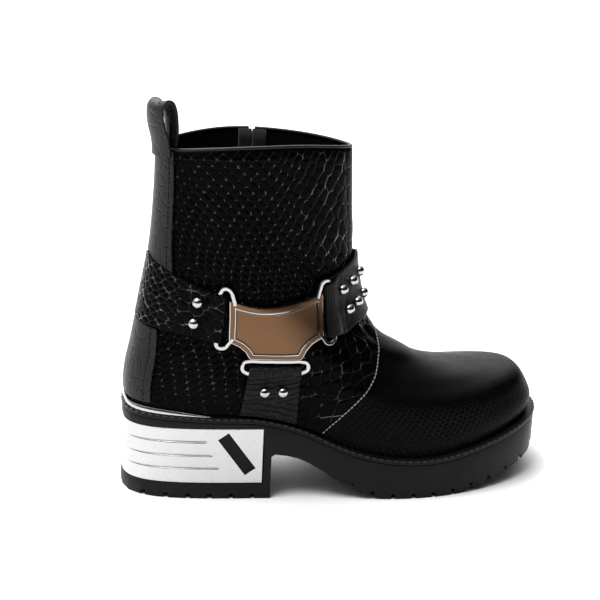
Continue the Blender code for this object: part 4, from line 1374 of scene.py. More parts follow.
@dataclass
class Upper:
    """Quarters, vamp, lining and collar edge."""

    zip: Zip
    rows: int = 150
    outer_columns: int = 120
    front_columns: int = 50
    rear_columns: int = 70
    vamp_rows: int = 110
    vamp_columns: int = 260
    slit_columns: int = 5
    edge_margin: float = 16.0
    edge_thick: float = 2.0
    vamp_under: float = 5.0
    lap: float = 0.8
    lap_start: float = 8.0
    lap_fade: float = 24.0
    hold_start: float = 6.0
    hold_fade: float = 16.0
    hold_rise: float = 14.0
    soft_passes: int = 30
    wall: float = 2.4
    bead_depth: float = 1.15
    bead_half: tuple[float, float] = (0.95, 1.25)
    bead_gap: float = 0.5
    stitch_inset: float = 1.0

    def quarter_grid(
        self, t: Array, u: Array, from_front: bool, seam: Array
    ) -> tuple[Array, dict[str, Array]]:
        """One side of the quarters with the places of its scales.

        Args:
            t: Shares up, one for each row.
            u: Shares round, rows by columns, rising.
            from_front: Whether the first column is the front edge.
            seam: Share of the front edge for each row.

        Returns:
            Points and attributes.
        """
        base = LAST.read(LAST.points, u, t[:, None])
        run = lengths(base, 1)
        front = run if from_front else run[:, -1:] - run
        front = front + self.edge_margin * ease((SEAM_TOP - t) / 0.1)[:, None]
        calm = np.where(seam[:, None] < 1, ease((front - self.edge_margin) / 2.0), 1.0)
        calm = ease((1.0 - t)[:, None] / 0.02) * calm
        rise = LAST.read(lengths(LAST.points, 0), u, t[:, None])
        calm = calm * (0.35 + 0.65 * ease((rise - 5.0) / 14.0))
        worn = -0.25 * (1 - ease((1.0 - t)[:, None] / 0.012))
        points = LAST.skin(u, t[:, None], crease_lift(base) + worn)
        cells = QUARTER_SCALES.cells(front, base[..., 2])
        return points, {"cell": cells, "press": QUARTER_SCALES.press(front, calm, front)}

    def build_quarters(self, shop: Workshop) -> None:
        """Model both quarters as one leather sheet with a cut edge, slit for the zip.

        Args:
            shop: The workshop.
        """
        t = np.linspace(0.0, 1.0, self.rows)
        seam = LAST.seams(t)
        outer = seam[:, None] * np.linspace(0, 1, self.outer_columns)[None]
        one = shop.grid(*self.quarter_grid(t, outer, False, seam))

        middle = self.zip.line(t)
        half = self.zip.slit_half / LAST.pitch(middle, t)
        spans = (
            (2 - seam, middle - half, self.front_columns),
            (middle - half, middle + half, self.slit_columns),
            (middle + half, np.full_like(t, 2.0), self.rear_columns),
        )
        runs = []
        for k, (low, high, count) in enumerate(spans):
            share = np.linspace(0, 1, count)[1 if k else 0:]
            runs.append(low[:, None] + (high - low)[:, None] * share)
        inner = np.concatenate(runs, axis=1)
        points, values = self.quarter_grid(t, inner, True, seam)
        slit = np.zeros(inner.shape)
        first = self.front_columns - 1
        slit[:, first:first + self.slit_columns] = 1.0
        slit *= (t > self.zip.low_t())[:, None]
        values["slit"] = slit
        two = shop.grid(points, values)
        layer = two.verts.layers.float["slit"]
        gone = [face for face in two.faces if all(vert[layer] > 0.5 for vert in face.verts)]
        bmesh.ops.delete(two, geom=gone, context="FACES")
        two.verts.layers.float.remove(layer)
        whole = shop.join([one, two])
        shop.weld(whole)
        quarters = shop.piece("quarters", whole, [GLAZED], ["upper"])
        rim = quarters.modifiers.new("cut_edge", "SOLIDIFY")
        rim.thickness = self.edge_thick * MM
        rim.offset = -1.0
        rim.use_rim_only = True

    def build_vamp(self, shop: Workshop) -> None:
        """Model the vamp, which runs under the quarters' edge.

        Args:
            shop: The workshop.
        """
        t = np.linspace(0.0, SEAM_TOP + 0.012, self.vamp_rows)
        seam = LAST.seams(t)
        under = self.vamp_under / LAST.pitch(seam, t)
        share = np.linspace(-1, 1, self.vamp_columns)
        u = 1 + (1 - seam + under)[:, None] * share[None]
        base = LAST.read(LAST.points, u, t[:, None])
        round_feather = lengths(np.concatenate([LAST.points[:1], LAST.points[:1, :1]], axis=1), 1)[0]
        along = np.interp(u, np.arange(2 * LAST.columns + 1) / LAST.columns, round_feather)
        rise = LAST.read(lengths(LAST.points, 0), u, t[:, None])
        x = base[..., 0]
        strong = (1 - 0.92 * ease((rise - 20) / 28)) * (1 - 0.75 * ease((x - 180) / 50))
        run = lengths(base, 1)
        inner = np.minimum(run, run[:, -1:] - run)
        lap = self.lap * (1 - ease((inner - self.lap_start) / self.lap_fade))
        points = LAST.skin(u, t[:, None], crease_lift(base) - lap)
        free = ease((inner - self.hold_start) / self.hold_fade) * ease(rise / self.hold_rise)
        soft = soften(points, self.soft_passes)
        soft = soft + soften(points - soft, self.soft_passes)
        points = points + free[..., None] * (soft - points)
        values = {"cell": VAMP_SCALES.cells(along, rise), "press": VAMP_SCALES.press(along, strong, NO_FRONT)}
        bm = shop.grid(points, values)
        shop.piece("vamp", bm, [VAMP_LEATHER], ["upper"])

    def build_lining(self, shop: Workshop) -> None:
        """Model the lining inside, slit for the zip.

        Args:
            shop: The workshop.
        """
        t = np.linspace(0.01, 0.996, 60)
        middle = self.zip.line(t)
        half = self.zip.slit_half / LAST.pitch(middle, t)
        share = np.linspace(0, 1, 150)
        u = (middle + half)[:, None] + (2 - 2 * half)[:, None] * share
        base = LAST.read(LAST.points, u, t[:, None])
        points = LAST.skin(u, t[:, None], 0.4 * crease_lift(base) - self.wall)
        bm = shop.grid(points)
        bmesh.ops.reverse_faces(bm, faces=bm.faces[:])
        shop.piece("lining", bm, [LINING], ["upper"])

    def build_collar(self, shop: Workshop) -> None:
        """Model the rolled edge of the collar and the stitches below it.

        Args:
            shop: The workshop.
        """
        middle = float(self.zip.line(1.0))
        half = self.bead_gap * self.zip.slit_half / float(LAST.pitch(middle, 1.0))
        u = np.linspace(middle + half, middle + 2 - half, 220)
        path = LAST.skin(u, 1.0, -self.bead_depth)
        out = LAST.read(LAST.normals, u, 1.0)
        turn = np.linspace(0, 2 * math.pi, 14)[:-1]
        tall, wide = self.bead_half
        section = np.stack([tall * np.sin(turn), wide * np.cos(turn)], axis=1)
        bead = shop.tube(path, out, section)
        shop.piece("collar_edge", bead, [BACK_STRIP], ["upper"])
        thread = shop.stitches(LAST.skin(u, 0.981, -0.02), out, COLLAR_ROW)
        shop.piece("collar_stitches", thread, [THREAD], ())

    def build_seam_stitches(self, shop: Workshop) -> None:
        """Model the row of stitches along each quarter's front edge.

        Args:
            shop: The workshop.
        """
        rows = []
        t = np.linspace(0.012, SEAM_TOP - 0.02, 160)
        seam = LAST.seams(t)
        for side in Side:
            u = seam - self.stitch_inset / LAST.pitch(seam, t)
            if side is Side.INNER:
                u = 2 - u
            out = LAST.read(LAST.normals, u, t)
            rows.append(shop.stitches(LAST.skin(u, t, 0.02), out, SEAM_ROW))
        # The seam's stitches are pale grey, partly their own colour and partly a painted highlight of the
        # seam's edge.
        shop.piece("seam_stitches", shop.join(rows), [PALE_THREAD_EDGE_HIGHLIGHT], ())

    def build(self, shop: Workshop) -> None:
        """Build every piece of the upper.

        Args:
            shop: The workshop.
        """
        self.build_quarters(shop)
        self.build_vamp(shop)
        self.build_lining(shop)
        self.build_collar(shop)
        self.build_seam_stitches(shop)


# Strips and straps

FOLD = tuple(Fold(*row) for row in (
    (-9.0, 1.3), (-4.0, 1.2), (0.4, 1.2), (2.0, 1.6), (2.75, 2.6), (2.9, 4.1), (2.8, 5.5),
    (2.1, 6.6), (0.4, 6.95), (-1.7, 6.85), (-4.2, 5.2), (-6.6, 3.5), (-8.6, 3.0),
))

PULL_LOOP = tuple(LoopPath(*row) for row in (
    (14.9, 209, 0.95, 0.0), (13.2, 216, 0.9, 0.0), (12.4, 222.5, 0.85, 0.0),
    (13.0, 227.5, 0.85, 0.1), (15.8, 230.3, 0.85, 0.3), (18.8, 229.4, 0.8, 0.5),
    (21.0, 225.5, 0.75, 0.7), (22.4, 219.0, 0.7, 0.9), (22.9, 210.5, 0.68, 1.0),
))

SIDE_LOOP = tuple(Spot(*row) for row in (
    (23.4, 13.5), (24.9, 18.6), (26.2, 21.9), (28.4, 23.2), (30.6, 22.3), (31.4, 20.2),
    (32.0, 12.7), (32.6, 5.0), (33.1, -1.8), (33.6, -8.6), (33.1, -11.4), (31.2, -12.6),
    (28.8, -12.2), (26.8, -9.6), (24.2, -6.5),
))

LOWER_LOOP = tuple(Spot(*row) for row in (
    (0.0, -20.6), (8.0, -20.6), (15.6, -20.6), (17.8, -21.2), (18.7, -23.2), (18.6, -25.8),
    (16.6, -27.2), (8.0, -27.2), (0.0, -27.2), (-8.0, -27.2), (-16.6, -27.2), (-18.6, -25.8),
    (-18.7, -23.2), (-17.8, -21.2), (-15.6, -20.6), (-8.0, -20.6), (0.0, -20.6),
))

PLATE_BODY = tuple(PlateEdge(*row) for row in (
    (0.0, -19.5, 11.5), (7.5, -19.5, 11.9), (14.0, -19.5, 12.9), (15.4, -18.4, 13.2),
    (17.2, -14.6, 13.7), (20.0, -11.8, 14.4), (23.6, -9.8, 15.5), (26.6, -8.8, 16.6),
))

PLATE_STEPS = tuple(PlateStep(*row) for row in (
    (0.6, 0.0), (0.0, 0.5), (0.0, 2.2), (0.18, 2.62), (0.6, 2.8), (2.9, 2.8), (3.1, 3.1),
    (3.5, 3.1), (3.7, 2.3), (4.2, 2.3), (4.35, 2.5),
))


@dataclass
class Harness:
    """Three straps, the plate that joins them and the studs on them."""

    plate_x: float = 82.3
    plate_z: float = 107.0
    low: float = 97.5
    top: float = 126.5
    back_low: float = 105.0
    back_top: float = 144.0
    ridge_low: float = 105.0
    ridge_top: float = 141.0
    heel_end: float = 62.0
    instep_end: float = 94.0
    heel_fold: float = 24.0
    instep_fold: float = 17.5
    thick: float = 1.6
    edge_round: float = 0.6
    edges: tuple[tuple[float, ...], ...] = ((0, 0.004, 0.012, 0.03), (0.97, 0.988, 0.996, 1))
    lift: float = 1.3
    instep_lift: float = 1.9
    bar: float = 3.0
    bar_lift: float = 2.6
    bar_share: float = 0.85
    stud_radius: float = 3.3
    stud_height: float = 3.0
    stud_flange: float = 0.3
    stud_pitch: float = 12.0
    across: Array = field(default_factory=lambda: np.linspace(0, 1, 9))

    def bar_across(self, up: float) -> float:
        """Distance of a side loop's outer bar from the plate's middle."""
        run = sorted((spot.up, spot.across) for spot in SIDE_LOOP[5:10])
        return float(np.interp(up, [row[0] for row in run], [row[1] for row in run]))

    def bar_heights(self) -> Array:
        """Heights along a side bar, from low to high."""
        return self.low + (self.top - self.low) * self.across

    def bar_middle(self, sign: int) -> float:
        """Share u at the middle of a side bar."""
        return self.bar_points(sign)[len(self.across) // 2][0]

    def inner_ends(self, x: float) -> list[float]:
        """Shares u across a strap's end at length x on the inner side."""
        return [LAST.place(x, float(z), Side.INNER)[0] for z in self.bar_heights()]

    def bar_points(self, sign: int, ahead: float = 0.0) -> list[tuple[float, float]]:
        """Shares (u, t) along a side bar, from low to high.

        Args:
            sign: -1 for the bar behind the plate, 1 for the front one.
            ahead: Distance towards the window.

        Returns:
            Shares u and t.
        """
        made = []
        for z in self.bar_heights():
            x = self.plate_x + sign * (self.bar_across(float(z) - self.plate_z) - ahead)
            made.append(LAST.place(x, float(z)))
        return made

    def heel_heights(self, u: float, bar_u: float) -> tuple[float, float]:
        """Lower and upper edge of the heel strap.

        Args:
            u: Share round the upper.
            bar_u: Share of the bar at which the strap ends.

        Returns:
            Both heights.
        """
        share = min(abs(u) / bar_u, 1.0)
        low = self.back_low + (self.low - self.back_low) * share
        return low, self.back_top + (self.top - self.back_top) * share

    def instep_heights(self, u: float, bar_u: float) -> tuple[float, float]:
        """Lower and upper edge of the instep strap.

        Args:
            u: Share round the upper.
            bar_u: Share of the bar at which the strap ends.

        Returns:
            Both heights.
        """
        share = float(np.clip(1 - abs(1 - u) / (1 - bar_u), 0, 1)) ** 0.8
        low = self.low + (self.ridge_low - self.low) * share
        return low, self.top + (self.ridge_top - self.top) * share

    def fold_rows(self, sign: int, heights: Heights, length: float) -> list[Array]:
        """Rows of a strap's end round a side bar.

        Args:
            sign: -1 for the bar behind the plate, 1 for the front one.
            heights: Function that gives the strap's edges at u.
            length: How far the end runs back over the strap.

        Returns:
            Rows of points across the strap.
        """
        near_end = -5.0
        tail = self.bar_points(sign, near_end)
        middle = self.bar_middle(sign)
        rows = []
        for fold in (*FOLD, Fold(-length * 0.6, 2.9), Fold(-length, 1.2)):
            near = self.bar_points(sign, max(fold.ahead, near_end))
            line = []
            for w, (u, t), (end, _) in zip(self.across, near, tail):
                here = u
                if fold.ahead < near_end:
                    here = end - sign * (fold.ahead - near_end) / float(LAST.pitch(u, t))
                low, high = heights(here, middle)
                line.append(LAST.skin(here, LAST.t_at(here, low + (high - low) * w), fold.lift))
            rows.append(np.array(line))
        return rows

    def wrap_rows(
        self, ends: Sequence[tuple[float, float]], shares: Array, heights: Heights, middle: float, lift: float
    ) -> list[Array]:
        """Rows of a strap round the upper.

        Args:
            ends: First and last share u, for each place across the strap.
            shares: Shares of the way between them.
            heights: Function that gives the strap's edges at u.
            middle: Share u at the middle of its bar.
            lift: Distance of the strap's middle off the leather.

        Returns:
            Rows of points across the strap.
        """
        rows = []
        for share in shares:
            line = []
            for w, (start, stop) in zip(self.across, ends):
                here = start + (stop - start) * share
                low, high = heights(here, middle)
                line.append(LAST.skin(here, LAST.t_at(here, low + (high - low) * w), lift))
            rows.append(np.array(line))
        return rows

    def heel_rows(self) -> list[Array]:
        """Rows of the heel strap from the inner side to its folded end.

        Returns:
            Rows of points across the strap.
        """
        ends = [(start - 2, u) for start, (u, _) in zip(self.inner_ends(self.heel_end), self.bar_points(-1))]
        shares = np.linspace(0, 1, 27)[:-3]
        rows = self.wrap_rows(ends, shares, self.heel_heights, self.bar_middle(-1), self.lift)
        return rows + self.fold_rows(-1, self.heel_heights, self.heel_fold)

    def instep_rows(self) -> list[Array]:
        """Rows of the instep strap from its folded end to the inner side.

        Returns:
            Rows of points across the strap.
        """
        ends = [(u, stop) for stop, (u, _) in zip(self.inner_ends(self.instep_end), self.bar_points(1))]
        shares = np.linspace(0, 1, 25)[3:]
        rows = self.wrap_rows(ends, shares, self.instep_heights, self.bar_middle(1), self.instep_lift)
        return self.fold_rows(1, self.instep_heights, self.instep_fold)[::-1] + rows

    def under_rows(self) -> list[Array]:
        """Rows of the under strap from the welt to its folded end.

        Returns:
            Rows of points across the strap.
        """
        bar_z = self.plate_z + LOWER_LOOP[8].up
        foot = [LAST.place(62.5 + 34.0 * float(w), 54.0)[0] for w in self.across]
        rows = [np.array([LAST.skin(u, 0.012, self.lift) for u in foot])]
        levels = [(56.0, self.lift), (63.0, self.lift)]
        levels += [(bar_z + fold.ahead, fold.lift) for fold in (*FOLD, Fold(-13.0, 2.9), Fold(-19.0, 1.2))]
        for z, lift in levels:
            rows.append(np.array([self.under_point(float(w), z, lift) for w in self.across]))
        return rows

    def under_point(self, w: float, z: float, lift: float) -> Array:
        """A point of the under strap.

        Args:
            w: Share across the strap.
            z: Height.
            lift: Distance off the leather.

        Returns:
            The point.
        """
        back = float(np.interp(z, (46, 80), (62.0, 67.4)))
        front = float(np.interp(z, (46, 80), (96.5, 97.2)))
        u, t = LAST.place(back + (front - back) * w, z)
        return LAST.skin(u, t, lift)

    def widen(self, rows: list[Array], count: int, wide: int) -> Array:
        """Spread a strap's rows evenly and put close points at its edges.

        Args:
            rows: Rows of points across the strap.
            count: How many rows to return.
            wide: How many points across between the edges.

        Returns:
            Grid of points, along by across.
        """
        first, last = self.edges
        shares = np.concatenate([first, np.linspace(0.06, 0.94, wide), last])
        return across_rows(resample(np.array(rows), count), shares)

    def build_straps(self, shop: Workshop) -> None:
        """Model the three straps, the heel strap with the places of its scales.

        Args:
            shop: The workshop.
        """
        heel = self.widen(self.heel_rows(), 200, 20)
        along, across = lengths(heel, 0), lengths(heel, 1)
        values = {"cell": STRAP_SCALES.cells(along, across)}
        values["press"] = STRAP_SCALES.press(along, 1.0, NO_FRONT)
        bm = shop.ribbon(heel, self.thick, self.edge_round, values)
        shop.piece("strap_heel", bm, [STRAP_LEATHER], ["heel_strap"])
        for name, grid, finish in (
            ("instep", self.widen(self.instep_rows(), 190, 24), STRAP_RIBS),
            ("under", self.widen(self.under_rows(), 120, 26), STRAP_RIPPLES),
        ):
            bm = shop.ribbon(grid, self.thick, self.edge_round)
            shop.piece("strap_" + name, bm, [finish], [name + "_strap"])

    def plate_point(self, across: float, up: float, lift: float) -> Array:
        """A point over the outer side, measured from the plate's middle."""
        u, t = LAST.place(self.plate_x + across, self.plate_z + up)
        return LAST.skin(u, t, lift)

    def ring(self, inset: float, count: int = 240) -> Array:
        """Outline of the plate's body moved inwards, evenly spaced from the middle of its lower edge.

        Args:
            inset: Distance inwards.
            count: How many points.

        Returns:
            Places across and up.
        """
        edges = [row._replace(across=-row.across) for row in PLATE_BODY[:0:-1]] + list(PLATE_BODY)
        knots = [row.across for row in edges]
        places = np.linspace(0, PLATE_BODY[-1].across, 90)
        low = np.interp(places, knots, [row.low for row in edges])
        high = through(knots, [row.high for row in edges], places)
        half = np.vstack([np.stack([places, low], axis=1), np.stack([places, high], axis=1)[::-1]])
        loop = np.vstack([half, (half * (-1, 1))[::-1]])
        loop = self.spread(loop, 1200)
        along = unit(np.roll(loop, -1, axis=0) - np.roll(loop, 1, axis=0))
        moved = loop + inset * np.stack([-along[:, 1], along[:, 0]], axis=1)
        away = np.linalg.norm(moved[:, None] - loop[None], axis=2).min(axis=1)
        return self.spread(moved[away > inset - 0.03], count)

    def spread(self, loop: Array, count: int) -> Array:
        """Spread points evenly along a closed polygon.

        Args:
            loop: Corners of the polygon.
            count: How many points to return.

        Returns:
            The points.
        """
        loop = np.vstack([loop, loop[:1]])
        run = distance_along(loop)
        return read_path(np.linspace(0, run[-1], count, endpoint=False), run, loop)

    def build_plate(self, shop: Workshop) -> None:
        """Model the plate: bevelled body with a framed panel, and three loops.

        Args:
            shop: The workshop.
        """
        rows = []
        for step in PLATE_STEPS:
            ring = self.ring(step.inset)
            row = np.column_stack([ring, np.full(len(ring), step.high)])
            rows.append(np.vstack([row, row[:1]]))
        bm = shop.grid(np.stack(rows))
        shop.close(bm)
        for way, cuts in (((1, 0, 0), np.arange(-24.5, 25.0, 3.5)), ((0, 1, 0), np.arange(-16.0, 14.0, 4.0))):
            for at in cuts:
                spot = to_frame(np.array(way) * at)
                geom = bm.verts[:] + bm.edges[:] + bm.faces[:]
                bmesh.ops.bisect_plane(bm, geom=geom, dist=1e-7, plane_co=spot, plane_no=way)
        bm.normal_update()
        for face in bm.faces:
            level = face.calc_center_median().z / MM
            # The flat top of the face and the panel's middle take the copper-brown tint, a painted brown
            # reflection on chrome. The other faces stay chrome.
            face.material_index = 0 if face.normal.z > 0.95 and (2.4 < level < 2.95) else 1
            # The floor of the groove round the panel takes the darker, duller metal.
            if level < 2.35 and face.normal.z > 0.95:
                face.material_index = 2
        for vert in bm.verts:
            across, up, high = np.array(vert.co) / MM - SHIFT
            vert.co = to_frame(self.plate_point(across, up, self.bar_lift + 0.1 + high))
        bmesh.ops.triangulate(bm, faces=bm.faces[:])
        bm.normal_update()
        parts = [bm]
        mirrored = [spot._replace(across=-spot.across) for spot in SIDE_LOOP]
        for path in (SIDE_LOOP, mirrored, LOWER_LOOP):
            parts.append(self.loop(shop, path, path is LOWER_LOOP))
        whole = shop.join(parts)
        finishes = [PAINTED_REFLECTION_FACE, CHROME, DARK_GROOVE]
        plate = shop.piece("plate_and_loops", whole, finishes, ["harness_plate"])
        plate.data.set_sharp_from_angle(angle=math.radians(28))

    def loop(self, shop: Workshop, path: Sequence[Spot], ring: bool) -> Mesh:
        """A loop of the plate: a rounded square bar.

        Args:
            shop: The workshop.
            path: Places along the bar's middle.
            ring: Whether the bar closes on itself.

        Returns:
            A closed bmesh.
        """
        flat = resample(np.array(path), 70)
        flat = flat[:-1] if ring else flat
        line = np.array([self.plate_point(a, b, self.bar_lift + self.bar / 2) for a, b in flat])
        over = np.array([self.plate_point(a, b, self.bar_lift + self.bar / 2 + 1) for a, b in flat])
        turn = np.linspace(0, 2 * math.pi, 17)[:-1]
        wide = np.sign(np.cos(turn)) * np.abs(np.cos(turn)) ** 0.55
        tall = np.sign(np.sin(turn)) * np.abs(np.sin(turn)) ** 0.55
        section = np.stack([wide, tall], axis=1) * self.bar / 2 * (self.bar_share, 1.0)
        bm = shop.tube(line, over - line, section, ring)
        for face in bm.faces:
            face.material_index = 1
        return bm

    def stud_spots(self) -> dict[str, tuple[Array, Array]]:
        """Foot and direction of every stud.

        Returns:
            Points and normals by the solid's name.
        """
        spots = {}
        double = FOLD[-1].lift + self.thick / 2 + self.stud_flange
        single = self.instep_lift + self.thick / 2 + self.stud_flange
        places = [("stud_heel_1", 38.5, 120.5), ("stud_heel_2", 36.5, 108.5)]
        places += [("stud_under_1", 76.6, 67.6), ("stud_under_2", 87.2, 67.6)]
        for name, x, z in places:
            spots[name] = self.stud_spot(LAST.place(x, z)[0], z, double)
        bar_u = self.bar_middle(1)
        first = LAST.place(125.5, 113.0)[0]
        pitch = np.linalg.norm(LAST.skin(1.0, 0.74) - LAST.skin(0.96, 0.74)) / 0.04
        for k in range(5):
            u = first + k * self.stud_pitch / pitch
            low, high = self.instep_heights(u, bar_u)
            for row, share in (("low", 0.3), ("high", 0.69)):
                lift = double if k == 0 else single
                spots[f"stud_instep_{row}_{k + 1}"] = self.stud_spot(u, low + (high - low) * share, lift)
        return spots

    def stud_spot(self, u: float, z: float, lift: float) -> tuple[Array, Array]:
        """Foot and direction of one stud.

        Args:
            u: Share round the upper.
            z: Height.
            lift: Distance of the strap's face off the leather.

        Returns:
            The point and the normal.
        """
        t = LAST.t_at(u, z)
        low = LAST.skin(u, t, lift - 0.35)
        return low, LAST.skin(u, t, lift + 1) - low

    def build_studs(self, shop: Workshop) -> None:
        """Model the studs, each a dome on a thin flange turned about its axis.

        Args:
            shop: The workshop.
        """
        spots = self.stud_spots()
        parts = []
        rise = np.linspace(0, math.pi / 2, 12)
        profile = [(self.stud_radius, 0.0)]
        for a in rise:
            high = self.stud_flange + self.stud_height * math.sin(a)
            profile.append((self.stud_radius * math.cos(a), high))
        for point, normal in spots.values():
            bm = bmesh.new()
            line = [bm.verts.new((x, 0.0, z)) for x, z in profile]
            edges = [bm.edges.new(pair) for pair in zip(line, line[1:])]
            bmesh.ops.spin(
                bm, geom=line + edges, cent=(0, 0, 0), axis=(0, 0, 1), angle=2 * math.pi,
                steps=28, use_merge=True,
            )
            bmesh.ops.remove_doubles(bm, verts=bm.verts[:], dist=1e-3)
            shop.close(bm)
            turn = Vector(normal).to_track_quat("Z", "Y").to_matrix().to_4x4()
            place = Matrix.Translation(to_frame(point)) @ turn @ Matrix.Scale(MM, 4)
            bmesh.ops.transform(bm, matrix=place, verts=bm.verts[:])
            parts.append(bm)
        studs = shop.piece("studs", shop.join(parts), [CHROME], spots)
        studs.data.set_sharp_from_angle(angle=math.radians(40))

    def build(self, shop: Workshop) -> None:
        """Build straps, plate and studs.

        Args:
            shop: The workshop.
        """
        self.build_straps(shop)
        self.build_plate(shop)
        self.build_studs(shop)


@dataclass
class BackStrips:
    """The strips down the back, which stop at the heel strap, and the loop above the collar."""

    harness: Harness
    thick: float = 1.2
    gap: float = 0.45
    strap_gap: float = 0.8
    loop_half: float = 11.0
    loop_off: float = 5.0
    loop_rise: float = 0.3
    loop_thick: float = 1.6
    loop_gap: float = 0.3
    wall: float = 2.4
    loop_edges: tuple[tuple[float, ...], ...] = ((0, 0.008, 0.02, 0.04), (0.96, 0.98, 0.992, 1))

    def build(self, shop: Workshop) -> None:
        """Model the two strips, the loop and the edge stitches.

        Args:
            shop: The workshop.
        """
        bar_u = LAST.place(47.8, 112.0)[0]
        pitch = float(LAST.pitch(0.0, 0.6))
        threads = []
        for name, half, top in (("backstay", 24.0, True), ("counter_strip", 16.0, False)):
            across = np.concatenate([[0, 0.12, 0.3, 0.6], np.linspace(1.1, 2 * half - 1.1, 34)])
            across = np.concatenate([across, 2 * half - np.array([0.6, 0.3, 0.12, 0])]) - half
            grid = []
            for share in np.linspace(0, 1, 70):
                row = []
                for u in across / pitch:
                    low, high = self.harness.heel_heights(u, bar_u)
                    if top:
                        start, stop = LAST.t_at(u, high + self.strap_gap), 0.997
                    else:
                        start, stop = 0.045, LAST.t_at(u, low - self.strap_gap)
                    row.append((u, start + (stop - start) * share))
                grid.append(row)
            places = np.array(grid)
            centre = LAST.skin(places[..., 0], places[..., 1], self.gap + self.thick / 2)
            bm = shop.ribbon(centre, self.thick, lip=0.5)
            shop.piece("strip_" + name, bm, [BACK_STRIP], [name])
            for k in (6, -7):
                out = LAST.read(LAST.normals, places[:, k, 0], places[:, k, 1])
                threads.append(shop.stitches(centre[:, k] + out * self.thick / 2, out, BACK_ROW))
        shop.piece("back_stitches", shop.join(threads), [THREAD], ())
        self.build_loop(shop)

    def build_loop(self, shop: Workshop) -> None:
        """Model the pull loop from the backstay, over its top and down the inside.

        Args:
            shop: The workshop.
        """
        pitch = float(LAST.pitch(0.0, 1.0))
        columns = np.linspace(self.loop_off - self.loop_half, self.loop_off + self.loop_half, 5) / pitch
        over = self.gap + self.thick + self.loop_gap + self.loop_thick / 2
        rows = [LAST.skin(columns, t, over) for t in (0.984, 0.99, 0.997)]
        base = rows[-1]
        bow = base[:, 0] - LAST.skin(0.0, 0.997, over)[0]
        under = -self.wall - self.loop_gap - self.loop_thick / 2
        inside = [LAST.skin(columns, t, under) for t in (0.995, 0.96, 0.92)]
        for spot in PULL_LOOP:
            y = base[:, 1] + spot.turn * (inside[0][:, 1] - base[:, 1])
            rows.append(np.stack([spot.x + spot.bend * bow, y, spot.z + self.loop_rise * bow], axis=1))
        rows += inside
        first, last = self.loop_edges
        shares = np.concatenate([first, np.linspace(0.07, 0.93, 15), last])
        wide = across_rows(resample(np.array(rows), 120), shares)
        bm = shop.ribbon(wide, self.loop_thick, lip=0.6)
        shop.piece("back_loop", bm, [BACK_STRIP], ["pull_loop"])


# Sole

RIM_PROFILE = tuple(RimCorner(*row) for row in (
    (0.65, 0.05), (1.95, 0.05), (2.0, 0.3), (1.75, 0.82), (1.4, 1.0), (1.0, 0.98), (0.65, 0.8),
))


